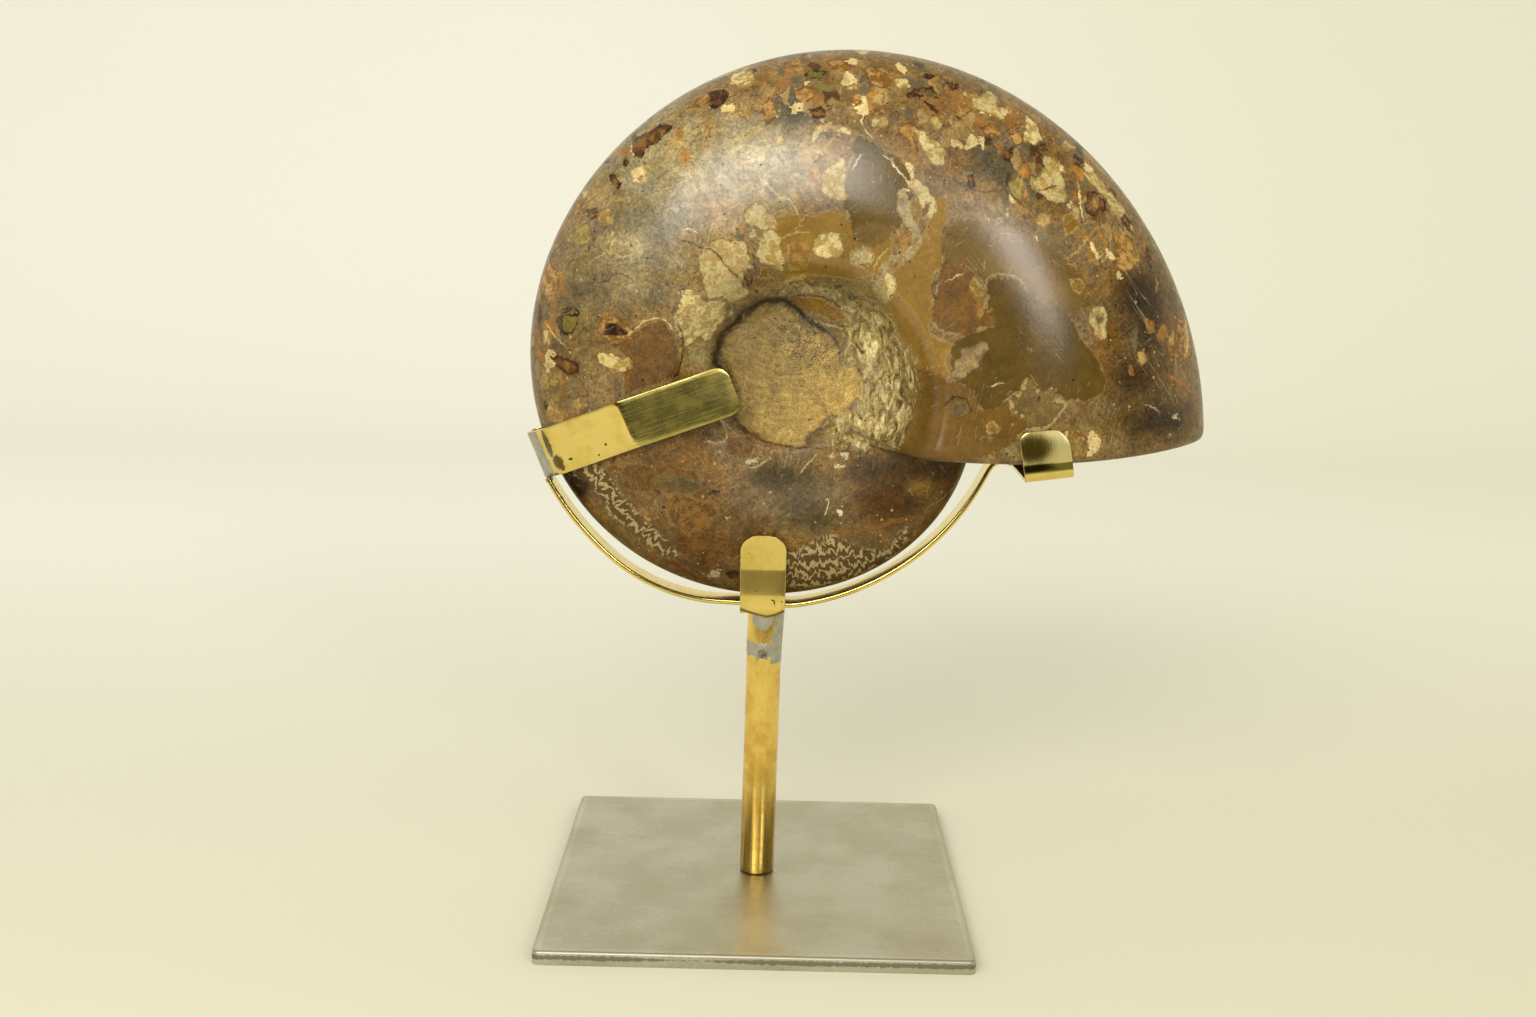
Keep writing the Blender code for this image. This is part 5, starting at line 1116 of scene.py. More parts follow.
a_bit = add(tree, "MULTIPLY", add(tree, "GREATER_THAN", bit_kind.outputs["Green"], 0.66), add(tree, "ShaderNodeMapRange",
    add(tree, "MULTIPLY_ADD", wobble, 0.5, bits.outputs["Distance"]), 0.62, 0.56, 0.0, 0.85))
bit_colour = add(tree, "ShaderNodeMix", bit_kind.outputs["Red"], linear("#6e4116"), linear("#b8a878"), data_type="RGBA")
mud = add(tree, "ShaderNodeMix", a_bit, mud, bit_colour, data_type="RGBA")
colour = add(tree, "ShaderNodeMix", chambered, mud, filling, data_type="RGBA")
crust = add(tree, "ShaderNodeMapRange", add(tree, "MULTIPLY_ADD", grain, 1.2, to_edge), 1.3, 3.0, 0.75, 0.0)
colour = add(tree, "ShaderNodeMix", crust, colour, linear("#b5a06a"), data_type="RGBA")
colour = add(tree, "ShaderNodeMix", add(tree, "ShaderNodeMapRange", to_edge, 0.35, 0.75, 0.9, 0.0), colour, linear("#392610"), data_type="RGBA")
tone = add(tree, "MULTIPLY", add(tree, "ShaderNodeMapRange", grain, 0.3, 0.7, 0.82, 1.18), add(tree, "ShaderNodeMapRange", wobble, 0.3, 0.7, 0.76, 1.24))
colour = add(tree, "ShaderNodeVectorMath", colour, tone, operation="SCALE")
bump = add(tree, "ShaderNodeBump", at={"Strength": 0.2, "Distance": 0.0001, "Height": add(tree, "ADD", grain, wobble)})
shader = add(tree, "ShaderNodeBsdfPrincipled", colour,
    at={"Roughness": add(tree, "ShaderNodeMapRange", broad, 0.35, 0.65, 0.20, 0.32), "Normal": bump, "IOR": 1.5})
add(tree, "ShaderNodeOutputMaterial", shader)
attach(stone, "root")
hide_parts("ammonite_half")

# ---------------------------------------------------------------- foot
# A square of 5 mm mild steel plate, sheared and left with its mill finish. Its top edges and corners
# are ground to a small chamfer, and the post's spigot is let into a socket at its middle.
PLATE_SIDE, PLATE_THICK = 0.150, 0.005
PLATE_CORNER = 0.0024
PLATE_CHAMFER = 0.0006
SOCKET_RADIUS, SOCKET_DEPTH = 0.0043, 0.0033
STEEL_GREY, STEEL_DARK, STEEL_GROUND = "#cdcabb", "#bcb8a4", "#c2beaa"
SCALE_BAND, RUST_TINT = "#79745d", "#a98a6a"


def rounded_square(half, corner, steps=7):
    """Points round a square with rounded corners."""
    made = []
    for quarter in range(4):
        middle = quarter * math.pi / 2 + math.pi / 4
        cx = math.copysign(half - corner, math.cos(middle))
        cy = math.copysign(half - corner, math.sin(middle))
        for i in range(steps + 1):
            turn = quarter * math.pi / 2 + math.pi / 2 * i / steps
            made.append((cx + corner * math.cos(turn), cy + corner * math.sin(turn)))
    return made


form = bmesh.new()
half = PLATE_SIDE / 2
levels = (
    (0.0004, 0.0), (0.0001, 0.0001), (0.0, 0.0004), (0.0, PLATE_THICK - PLATE_CHAMFER),
    (0.0001, PLATE_THICK - 0.75 * PLATE_CHAMFER), (0.75 * PLATE_CHAMFER, PLATE_THICK - 0.0001),
    (PLATE_CHAMFER, PLATE_THICK), (PLATE_CHAMFER + 0.0003, PLATE_THICK),
)
rings = []
for inset, z in levels:
    corner = max(PLATE_CORNER - inset, 0.0006)
    rings.append([form.verts.new((x, y, z)) for x, y in rounded_square(half - inset, corner)])
for low, high in zip(rings, rings[1:]):
    for i in range(len(low)):
        k = (i + 1) % len(low)
        form.faces.new((low[i], low[k], high[k], high[i]))
form.faces.new(list(reversed(rings[0])))
# The top has the socket for the post's spigot in it
socket_ring = []
for z, radius in ((PLATE_THICK, SOCKET_RADIUS), (PLATE_THICK - SOCKET_DEPTH, SOCKET_RADIUS)):
    turns = [2 * math.pi * i / len(rings[0]) + math.radians(2.0) for i in range(len(rings[0]))]
    socket_ring.append([form.verts.new((radius * math.cos(t), radius * math.sin(t), z)) for t in turns])
for outer, inner in ((rings[-1], socket_ring[0]), (socket_ring[0], socket_ring[1])):
    for i in range(len(outer)):
        k = (i + 1) % len(outer)
        form.faces.new((outer[i], outer[k], inner[k], inner[i]))
form.faces.new(socket_ring[1])

# Mill-finish mild steel: rolled, then wiped over. Grey with a warm cast, a soft sheen that blurs
# the post's reflection, fine grain and faint rolling lines, and dark scale left along the edges.
steel, tree = new_surface("mill_finish_mild_steel")
coords = add(tree, "ShaderNodeTexCoord")
mm = add(tree, "ShaderNodeVectorMath", coords.outputs["Object"], (1000.0, 1000.0, 1000.0), operation="MULTIPLY")
place = add(tree, "ShaderNodeSeparateXYZ", mm)
cloudy = add(tree, "ShaderNodeTexNoise", mm, 0.035, 5.0, at={"Roughness": 0.6})
# Rolling lines run from side to side, drawn 1 mm apart where the real ones are finer
rolled = add(tree, "ShaderNodeTexNoise", add(tree, "ShaderNodeVectorMath", mm, (0.03, 0.9, 0.9), operation="MULTIPLY"), 1.0, 3.0)
grain = add(tree, "ShaderNodeTexNoise", mm, 1.5, 4.0, at={"Roughness": 0.8})
blotch = add(tree, "ShaderNodeMapRange", cloudy, 0.32, 0.68, 0.0, 1.0, interpolation_type="SMOOTHSTEP")
body = add(tree, "ShaderNodeMix", blotch, data_type="RGBA")
body.inputs["A"].default_value = linear(STEEL_DARK)
body.inputs["B"].default_value = linear(STEEL_GREY)
tone = add(tree, "MULTIPLY", add(tree, "ShaderNodeMapRange", rolled, 0.3, 0.7, 0.97, 1.02), add(tree, "ShaderNodeMapRange", grain, 0.3, 0.7, 0.80, 1.14))
# A paler strip runs just inside the edges, where the plate was wiped round
from_middle = add(tree, "MAXIMUM", add(tree, "ABSOLUTE", place.outputs["X"]), add(tree, "ABSOLUTE", place.outputs["Y"]))
wiped = add(tree, "ShaderNodeMapRange", add(tree, "ABSOLUTE", add(tree, "SUBTRACT", from_middle, 72.9)), 0.9, 0.5, 1.0, 1.10)
tone = add(tree, "MULTIPLY", tone, wiped)
toned = add(tree, "ShaderNodeVectorMath", body.outputs["Result"], operation="SCALE")
tree.links.new(tone.outputs[0], toned.inputs["Scale"])
# Small dark stains, and a rusty one near the front right corner
spots_at = add(tree, "ShaderNodeTexVoronoi", add(tree, "ShaderNodeVectorMath", mm, (0.5, 1.0, 1.0), operation="MULTIPLY"), 0.10)
spot_kind = add(tree, "ShaderNodeSeparateColor", spots_at.outputs["Color"])
spot = add(tree, "MULTIPLY", add(tree, "LESS_THAN", spots_at.outputs["Distance"], 0.04), add(tree, "GREATER_THAN", spot_kind.outputs["Red"], 0.7))
near_corner = add(tree, "ShaderNodeVectorMath", mm, (62.0, -66.0, 5.0), operation="DISTANCE")
rusty = add(tree, "MULTIPLY", add(tree, "ShaderNodeMapRange", near_corner.outputs["Value"], 22.0, 2.0, 0.0, 1.0), add(tree, "ShaderNodeMapRange", grain, 0.45, 0.62, 0.0, 0.8))
streaky = add(tree, "ShaderNodeVectorMath", mm, (27.0, -35.0, 5.0), operation="DISTANCE")
pinkish = add(tree, "MULTIPLY", add(tree, "ShaderNodeMapRange", streaky.outputs["Value"], 34.0, 4.0, 0.0, 1.0), add(tree, "ShaderNodeMapRange", grain, 0.5, 0.7, 0.0, 0.45))
# Dark scale keeps to the middle of the sheared edge, and the chamfer is bright from grinding
on_side = add(tree, "MULTIPLY", add(tree, "GREATER_THAN", place.outputs["Z"], 0.9), add(tree, "LESS_THAN", place.outputs["Z"], 4.1))
wavy = add(tree, "ShaderNodeTexNoise", add(tree, "ShaderNodeVectorMath", mm, (0.6, 0.6, 0.25), operation="MULTIPLY"), 1.0, 5.0)
half_tall = add(tree, "ShaderNodeMapRange", wavy, 0.34, 0.62, 0.6, 1.15)
# The band is broken left of the middle
broken_at = add(tree, "ABSOLUTE", add(tree, "SUBTRACT", place.outputs["X"], -22.0))
half_tall = add(tree, "SUBTRACT", half_tall, add(tree, "ShaderNodeMapRange", broken_at, 4.0, 22.0, 0.75, 0.0))
off_middle = add(tree, "ABSOLUTE", add(tree, "SUBTRACT", place.outputs["Z"], 2.9))
scale = add(tree, "MULTIPLY", on_side, add(tree, "ShaderNodeMapRange", add(tree, "SUBTRACT", half_tall, off_middle), -0.1, 0.25, 0.0, 0.85))
ground_edge = add(tree, "MULTIPLY", add(tree, "GREATER_THAN", place.outputs["Z"], 4.15), add(tree, "LESS_THAN", place.outputs["Z"], 4.985))
colour = toned.outputs[0]
for factor, code in ((spot, "#6d6955"), (rusty, RUST_TINT), (pinkish, "#b08f78"), (scale, SCALE_BAND), (ground_edge, STEEL_GROUND)):
    mixed = add(tree, "ShaderNodeMix", factor, data_type="RGBA")
    tree.links.new(colour, mixed.inputs["A"])
    mixed.inputs["B"].default_value = linear(code)
    colour = mixed.outputs["Result"]
rough = add(tree, "MULTIPLY_ADD", add(tree, "SUBTRACT", grain, 0.5), 0.25, add(tree, "MULTIPLY_ADD", ground_edge, 0.06, add(tree, "MULTIPLY_ADD", scale, 0.2, 0.40)))
bump = add(tree, "ShaderNodeBump", at={"Strength": 0.25, "Distance": 0.00006, "Height": add(tree, "MULTIPLY_ADD", rolled, 0.4, grain)})
shader = add(tree, "ShaderNodeBsdfPrincipled", at={"Base Color": colour, "Metallic": 1.0, "Roughness": rough, "Normal": bump})
add(tree, "ShaderNodeOutputMaterial", shader)
plate = add_piece("steel_plate", form, steel)
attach(plate, "root")
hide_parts("base_plate")

# ---------------------------------------------------------------- post
# A 12.7 mm solid brass rod with a turned spigot, standing a little out of upright. It was rubbed
# down with fine paper, so it is satin, with a thin dark line where it meets the plate.
GAP = 0.0003
POST_RADIUS, POST_LEAN, POST_EASE = 0.00635, 0.011, 0.00035
POST_TOP = 0.1057
SPIGOT_RADIUS, SPIGOT_DEPTH = 0.004, 0.003
BRASS, BRASS_DEEP, BRASS_TARNISH = "#efcd72", "#deb459", "#8d7430"


def leaning(radius, angle, z):
    """A place round the post, whose middle line leans to the right as it rises."""
    return (POST_LEAN * max(0.0, z - PLATE_THICK) + radius * math.cos(angle), radius * math.sin(angle), z)


form = bmesh.new()
foot_z = PLATE_THICK + GAP
profile = [(SPIGOT_RADIUS, PLATE_THICK - SPIGOT_DEPTH), (SPIGOT_RADIUS, foot_z), (POST_RADIUS - POST_EASE, foot_z)]
for i in range(1, 4):
    turn = math.pi / 2 * i / 3
    profile.append((POST_RADIUS - POST_EASE * (1 - math.sin(turn)), foot_z + POST_EASE * (1 - math.cos(turn))))
profile += [(POST_RADIUS, foot_z + 0.02 * i) for i in range(1, 5)]
for i in range(4):
    turn = math.pi / 2 * i / 3
    profile.append((POST_RADIUS - POST_EASE * (1 - math.cos(turn)), POST_TOP - POST_EASE * (1 - math.sin(turn))))
rings = []
for radius, z in profile:
    rings.append([form.verts.new(leaning(radius, 2 * math.pi * i / 72, z)) for i in range(72)])
for low, high in zip(rings, rings[1:]):
    for i in range(72):
        k = (i + 1) % 72
        form.faces.new((low[i], low[k], high[k], high[i]))
form.faces.new(list(reversed(rings[0])))
form.faces.new(rings[-1])

# Satin brass: rolled rod, rubbed round and along with fine paper and lightly tarnished since. A
# warm yellow metal with hazy, streaked reflections, dulled by fingers in cloudy patches.
satin, tree = new_surface("satin_rubbed_brass")
coords = add(tree, "ShaderNodeTexCoord")
mm = add(tree, "ShaderNodeVectorMath", coords.outputs["Object"], (1000.0, 1000.0, 1000.0), operation="MULTIPLY")
cloudy = add(tree, "ShaderNodeTexNoise", mm, 0.11, 5.0, at={"Roughness": 0.6})
# Rubbing marks run up the rod, drawn 0.5 mm apart where the real ones are a tenth of that
rubbed = add(tree, "ShaderNodeTexNoise", add(tree, "ShaderNodeVectorMath", mm, (1.6, 1.6, 0.05), operation="MULTIPLY"), 1.0, 4.0, at={"Roughness": 0.7})
speckle = add(tree, "ShaderNodeTexNoise", mm, 1.7, 3.0, at={"Roughness": 0.7})
dull = add(tree, "ShaderNodeMapRange", cloudy, 0.42, 0.66, 0.0, 1.0, interpolation_type="SMOOTHSTEP")
body = add(tree, "ShaderNodeMix", dull, data_type="RGBA")
body.inputs["A"].default_value = linear(BRASS)
body.inputs["B"].default_value = linear(BRASS_DEEP)
# Low on the rod the rubbing left darker and lighter stripes
stripes = add(tree, "ShaderNodeTexNoise", add(tree, "ShaderNodeVectorMath", mm, (0.55, 0.55, 0.012), operation="MULTIPLY"), 1.0, 3.0)
low_down = add(tree, "ShaderNodeMapRange", add(tree, "ShaderNodeSeparateXYZ", mm).outputs["Z"], 9.0, 5.2, 0.0, 0.8)
striped = add(tree, "MULTIPLY", add(tree, "ShaderNodeMapRange", stripes, 0.44, 0.58, 0.0, 0.7),
    add(tree, "ShaderNodeMapRange", add(tree, "ShaderNodeSeparateXYZ", mm).outputs["Z"], 52.0, 30.0, 0.0, 1.0))
low_down = add(tree, "MAXIMUM", low_down, striped)
stained = add(tree, "MAXIMUM", low_down, add(tree, "MULTIPLY", add(tree, "ShaderNodeMapRange", speckle, 0.60, 0.72, 0.0, 0.5), dull))
colour = add(tree, "ShaderNodeMix", stained, data_type="RGBA")
tree.links.new(body.outputs["Result"], colour.inputs["A"])
colour.inputs["B"].default_value = linear(BRASS_TARNISH)
rough = add(tree, "MULTIPLY_ADD", dull, 0.10, add(tree, "ShaderNodeMapRange", rubbed, 0.3, 0.7, 0.20, 0.30))
bump = add(tree, "ShaderNodeBump", at={"Strength": 0.22, "Distance": 0.00005, "Height": rubbed})
shader = add(tree, "ShaderNodeBsdfPrincipled", at={"Metallic": 1.0, "Roughness": rough, "Normal": bump})
tree.links.new(colour.outputs["Result"], shader.inputs["Base Color"])
add(tree, "ShaderNodeOutputMaterial", shader)
post = add_piece("brass_post", form, satin)
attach(post, "root")
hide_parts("post")

# ---------------------------------------------------------------- clips and cradle band
# Polished brass strip, cut with snips, filed round at its ends and bent cold: two clips and a long
# arm of 16.5 x 1.5 mm, which grip the stone, and a 10.5 x 2 mm band bent round under it.
STRIP_WIDE, STRIP_THICK, STRIP_EASE = 0.0165, 0.0015, 0.00028
REST_GAP = 0.0006
BEND_RADIUS, TIGHT_BEND = 0.0022, 0.0013
BAND_WIDE, BAND_THICK, BAND_EASE = 0.0120, 0.0017, 0.0005
ARM_WIDE = 0.0176
BAND_LEFT_LOW, BAND_RIGHT_LOW = (-0.0133, 0.1094), (-0.0010, 0.1078)
BAND_LEFT_ARCS = ((0.0655, math.radians(41.0)), (0.105, math.radians(19.7)))
BAND_RIGHT_ARCS = ((0.0902, math.radians(65.07)),)
BAND_JOIN_X = 0.0090
BAND_FOOT_BEND, BAND_LAP = 0.0035, 0.0060



def buffed_brass(name, stains, olive_reflection_from=None, browned=None, rubbed_pale=None):
    """Polished brass sheet: rolled, buffed bright and handled since. A pale yellow mirror with a
    slight haze, hairlines along the strip and small dark pits. A stain is (run, breadth, reach
    along, reach across, depth) in mm. The third argument gives the run past which the colour is
    tinted olive, a painted reflection of the darker room that the strip faces beyond a fold; browned
    gives the runs between which it is darkened to a given olive brown, and rubbed_pale the patch
    left tarnished by later rubbing."""
    surface, tree = new_surface(name)
    run = add(tree, "ShaderNodeAttribute", attribute_name="run")
    coords = add(tree, "ShaderNodeTexCoord")
    mm = add(tree, "ShaderNodeVectorMath", coords.outputs["Object"], (1000.0, 1000.0, 1000.0), operation="MULTIPLY")
    cloudy = add(tree, "ShaderNodeTexNoise", mm, 0.12, 4.0, at={"Roughness": 0.6})
    fine = add(tree, "ShaderNodeTexNoise", mm, 1.6, 3.0, at={"Roughness": 0.7})
    # Hairlines lie along the strip, drawn 0.6 mm apart where the real ones are finer
    stretched = add(tree, "ShaderNodeVectorMath", run.outputs["Vector"], (0.07, 1.7, 1.0), operation="MULTIPLY")
    hair = add(tree, "ShaderNodeTexNoise", stretched, 1.0, 4.0, at={"Roughness": 0.75})
    pits = add(tree, "ShaderNodeTexVoronoi", mm, 0.22)
    kind = add(tree, "ShaderNodeSeparateColor", pits.outputs["Color"])
    dark = add(tree, "LESS_THAN", pits.outputs["Distance"], add(tree, "MULTIPLY", add(tree, "POWER", kind.outputs["Green"], 5.0), 0.075))
    ragged = add(tree, "MULTIPLY", add(tree, "SUBTRACT", fine, 0.5), 1.6)
    for along, wide, reach_along, reach_wide, deep in stains:
        off = add(tree, "ShaderNodeVectorMath", run.outputs["Vector"], (along, wide, 0.0), operation="SUBTRACT")
        shrunk = add(tree, "ShaderNodeVectorMath", off, (1.0 / reach_along, 1.0 / reach_wide, 1.0), operation="MULTIPLY")
        far = add(tree, "ShaderNodeVectorMath", shrunk, operation="LENGTH")
        inside = add(tree, "ShaderNodeMapRange", add(tree, "ADD", far.outputs["Value"], ragged), 1.12, 0.88, 0.0, deep)
        dark = add(tree, "MAXIMUM", dark, inside)
    dull = add(tree, "ShaderNodeMapRange", cloudy, 0.40, 0.70, 0.0, 1.0, interpolation_type="SMOOTHSTEP")
    body = add(tree, "ShaderNodeMix", dull, data_type="RGBA")
    body.inputs["A"].default_value = linear("#ebd27d")
    body.inputs["B"].default_value = linear("#e0c469")
    haze = add(tree, "ShaderNodeMapRange", hair, 0.3, 0.7, 0.10, 0.17)
    colour = body.outputs["Result"]
    # Past the given run the colour is tinted olive: a painted reflection of the darker room that the strip faces beyond
    # its fold
    if olive_reflection_from:
        place = add(tree, "ShaderNodeSeparateXYZ", run.outputs["Vector"])
        edge = add(tree, "ADD", place.outputs["X"], add(tree, "MULTIPLY", add(tree, "SUBTRACT", hair, 0.5), 9.0))
        over = add(tree, "ShaderNodeMapRange", edge, olive_reflection_from - 0.6, olive_reflection_from + 0.9, 0.0, 1.0)
        painted_olive_share = add(tree, "MULTIPLY", over, add(tree, "ShaderNodeMapRange", add(tree, "ADD", hair, cloudy), 0.75, 1.3, 1.0, 0.45))
        tinted = add(tree, "ShaderNodeMix", painted_olive_share, data_type="RGBA")
        tree.links.new(colour, tinted.inputs["A"])
        tinted.inputs["B"].default_value = linear("#a09a58")
        colour = tinted.outputs["Result"]
        haze = add(tree, "MULTIPLY_ADD", over, 0.12, haze)
    # Between the given runs the colour darkens to the given olive brown
    if browned:
        place = add(tree, "ShaderNodeSeparateXYZ", run.outputs["Vector"])
        start, full, stop, code = browned
        under = add(tree, "ShaderNodeMapRange", place.outputs["X"], stop + 0.3, stop - 0.3, 0.0, 1.0)
        over = add(tree, "ShaderNodeMapRange", place.outputs["X"], start, full, 0.0, 1.0, interpolation_type="SMOOTHSTEP")
        colour = add(tree, "ShaderNodeMix", add(tree, "MULTIPLY", under, over), colour, linear(code), data_type="RGBA").outputs["Result"]
    if rubbed_pale:
        along, wide, reach_along, reach_wide, start = rubbed_pale
        off = add(tree, "ShaderNodeVectorMath", run.outputs["Vector"], (along, wide, 0.0), operation="SUBTRACT")
        far = add(tree, "ShaderNodeVectorMath", add(tree, "ShaderNodeVectorMath", off, (1.0 / reach_along, 1.0 / reach_wide, 0.0), operation="MULTIPLY"), operation="LENGTH")
        rubbed = add(tree, "ShaderNodeMapRange", add(tree, "ADD", far.outputs["Value"], add(tree, "MULTIPLY", ragged, 0.25)), 0.45, 1.55, 0.0, 1.0, interpolation_type="SMOOTHSTEP")
        place = add(tree, "ShaderNodeSeparateXYZ", run.outputs["Vector"])
        rubbed = add(tree, "MULTIPLY", rubbed, add(tree, "ShaderNodeMapRange", place.outputs["X"], start, start + 0.7, 0.0, 1.0))
        colour = add(tree, "ShaderNodeMix", rubbed, colour, linear("#d9cd95"), data_type="RGBA").outputs["Result"]
        haze = add(tree, "MULTIPLY_ADD", rubbed, 0.30, haze)
    hairy = add(tree, "ShaderNodeVectorMath", colour, operation="SCALE")
    tree.links.new(add(tree, "ShaderNodeMapRange", hair, 0.3, 0.7, 0.90, 1.04).outputs[0], hairy.inputs["Scale"])
    marked = add(tree, "ShaderNodeMix", dark, data_type="RGBA")
    tree.links.new(hairy.outputs[0], marked.inputs["A"])
    marked.inputs["B"].default_value = linear("#3d3518")
    rough = add(tree, "MULTIPLY_ADD", dark, 0.25, add(tree, "MULTIPLY_ADD", dull, 0.05, haze))
    relief = add(tree, "SUBTRACT", add(tree, "MULTIPLY", hair, 0.5), add(tree, "MULTIPLY", dark, 1.5))
    bump = add(tree, "ShaderNodeBump", at={"Strength": 0.16, "Distance": 0.00004, "Height": relief})
    shader = add(tree, "ShaderNodeBsdfPrincipled", at={"Metallic": 1.0, "Roughness": rough, "Normal": bump})
    tree.links.new(marked.outputs["Result"], shader.inputs["Base Color"])
    add(tree, "ShaderNodeOutputMaterial", shader)
    return surface


# The stone's front, felt from outside, is what the clips are bent to
feel = BVHTree.FromPolygons([v.co for v in mesh.vertices], [tuple(f.vertices) for f in mesh.polygons])


def stone_front(x, z):
    """Depth of the stone's face at a place, or of its cut beside the stone."""
    hit = feel.ray_cast(Vector((x, -0.2, z)), Vector((0.0, 1.0, 0.0)))[0]
    return hit.y if hit else CUT_Y


def over_the_stone(origin, axis, start, stop, steps, wide=STRIP_WIDE):
    """(distance, depth) points of a strip's middle that lies on the stone and bridges its hollows."""
    across = Vector((-axis.z, 0.0, axis.x))
    made = []
    for i in range(steps + 1):
        along = start + (stop - start) * i / steps
        places = [origin + axis * along + across * share * wide for share in (-0.5, -0.25, 0.0, 0.25, 0.5)]
        made.append((along, min(stone_front(p.x, p.z) for p in places) - REST_GAP - 0.5 * STRIP_THICK))
    return made


def pulled_tight(points):
    """Keeps the points that a strip stretched over them would touch. Lower depth is further out."""
    kept = []
    for point in points:
        while len(kept) > 1:
            (a, b), (c, d) = kept[-2], kept[-1]
            if (c - a) * (point[1] - b) - (d - b) * (point[0] - a) > 0.0:
                break
            kept.pop()
        kept.append(point)
    return kept


def with_bends(path, radius, steps=8):
    """A path of 2-D points with its marked corners turned into arcs. A point is (a, b, bend)."""
    made = []
    for i, (a, b, bend) in enumerate(path):
        here = Vector((a, b))
        if not bend:
            made.append(here)
            continue
        back = (Vector(path[i - 1][:2]) - here).normalized()
        on = (Vector(path[i + 1][:2]) - here).normalized()
        half = 0.5 * back.angle(on)
        centre = here + (back + on).normalized() * (radius / math.sin(half))
        first = here + back * (radius / math.tan(half)) - centre
        swing = first.angle_signed(here + on * (radius / math.tan(half)) - centre)
        for k in range(steps + 1):
            cos, sin = math.cos(-swing * k / steps), math.sin(-swing * k / steps)
            made.append(centre + Vector((first.x * cos - first.y * sin, first.x * sin + first.y * cos)))
    return made


def evened(points, spacing, passes):
    """The same path with points at an even spacing, relaxed a little as bent metal is."""
    points = [p.copy() for p in points]
    lengths = [0.0]
    for a, b in zip(points, points[1:]):
        lengths.append(lengths[-1] + (b - a).length)
    count = max(2, round(lengths[-1] / spacing))
    made, k = [], 0
    for i in range(count + 1):
        want = lengths[-1] * i / count
        while k < len(points) - 2 and lengths[k + 1] < want:
            k += 1
        share = (want - lengths[k]) / max(lengths[k + 1] - lengths[k], 1e-9)
        made.append(points[k].lerp(points[k + 1], share))
    for _ in range(passes):
        made = [made[0]] + [0.25 * a + 0.5 * b + 0.25 * c for a, b, c in zip(made, made[1:], made[2:])] + [made[-1]]
    return made


def swept_strip(name, path, across, half_widths, thick, ease, surface, run_of, lift_of=None):
    """A strip of flat section with eased edges along a path. Its run, breadth and back are written
    on it in mm. The lift, in mm off the stone, makes the unevenness of hand bending."""
    form = bmesh.new()
    place = form.verts.layers.float_vector.new("run")
    rings = []
    for i, point in enumerate(path):
        ahead = path[min(i + 1, len(path) - 1)] - point
        behind = point - path[max(i - 1, 0)]
        along = (ahead.normalized() + behind.normalized()).normalized()
        face = along.cross(across).normalized()
        mitre = 1.0 / max(0.5, math.cos(0.5 * ahead.angle(behind))) if ahead.length and behind.length else 1.0
        wide, deep = half_widths[i], 0.5 * thick
        bit = min(ease, 0.45 * wide)
        section = []
        for p, q, first in ((-1, -1, 180), (1, -1, 270), (1, 1, 0), (-1, 1, 90)):
            for turn in (0, 30, 60, 90):
                t = math.radians(first + turn)
                section.append((p * (wide - bit) + bit * math.cos(t), q * (deep - bit) + bit * math.sin(t)))
            if p == q:
                section += [(-q * (wide - bit) * (k / 5 - 1.0), q * deep) for k in range(1, 10)]
        ring = []
        for w, d in section:
            run = run_of(i, point, w * 1000.0)
            lift = lift_of(*run) * 0.001 if lift_of else 0.0
            vert = form.verts.new(point + across * w + face * d * mitre + Vector((0.0, -lift, 0.0)))
            vert[place] = Vector(run)
            ring.append(vert)
        rings.append(ring)
    sides = len(rings[0])
    for here, after in zip(rings, rings[1:]):
        for k in range(sides):
            form.faces.new((here[k], here[(k + 1) % sides], after[(k + 1) % sides], after[k]))
    form.faces.new(rings[0])
    form.faces.new(list(reversed(rings[-1])))
    return add_piece(name, form, surface)


def tip_points(path, corner, steps=9):
    """Sets a path's points close together near its last one, where the filed end narrows."""
    end = path[-1]
    made = [point for point in path if (point - end).length > corner * 1.02]
    for i in range(steps + 1):
        away, k = corner * (1.0 - math.sin(0.5 * math.pi * i / steps)), len(path) - 1
        while (path[k - 1] - end).length < away:
            k -= 1
        near, far = (path[k] - end).length, (path[k - 1] - end).length
        made.append(path[k].lerp(path[k - 1], (away - near) / (far - near)))
    return made


def bent_clip(name, origin, axis, path, corner, replaced, surface, wide=STRIP_WIDE, lift_of=None, bow=None):
    """A clip bent from strip: its path is in distance along the axis and depth."""
    across = Vector((-axis.z, 0.0, axis.x))
    line = evened([origin + axis * a + Vector((0.0, b, 0.0)) for a, b in path], 0.0007, 2)
    line = tip_points(line, corner)
    line = list(reversed(tip_points(list(reversed(line)), corner)))
    widths = []
    for point in line:
        nearest = min((point - line[0]).length, (point - line[-1]).length)
        short = max(corner - nearest, 0.0)
        widths.append(0.5 * wide - corner + math.sqrt(max(corner * corner - short * short, (0.08 * corner) ** 2)))

    def run_of(i, point, breadth):
        return ((point - origin).dot(axis) * 1000.0, breadth, 60.0 if point.y > REAR_Y - 0.002 else 0.0)

    piece = swept_strip(name, line, across, widths, STRIP_THICK, STRIP_EASE, surface, run_of, lift_of)
    if bow:
        layer = piece.data.attributes["run"].data
        for vert, run in zip(piece.data.vertices, layer):
            vert.co += across * (bow(run.vector[0]) * 0.001 if run.vector[2] == 0.0 else 0.0)
    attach(piece, "root")
    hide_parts(replaced)
    return piece


def handled(run, breadth, amount):
    """The slight waviness left in a strip by fingers and pliers, in mm."""
    return amount * noise.noise(Vector((run * 0.11, breadth * 0.09, amount * 50.0)))


REAR_Y = CUT_Y + REST_GAP + 0.5 * STRIP_THICK
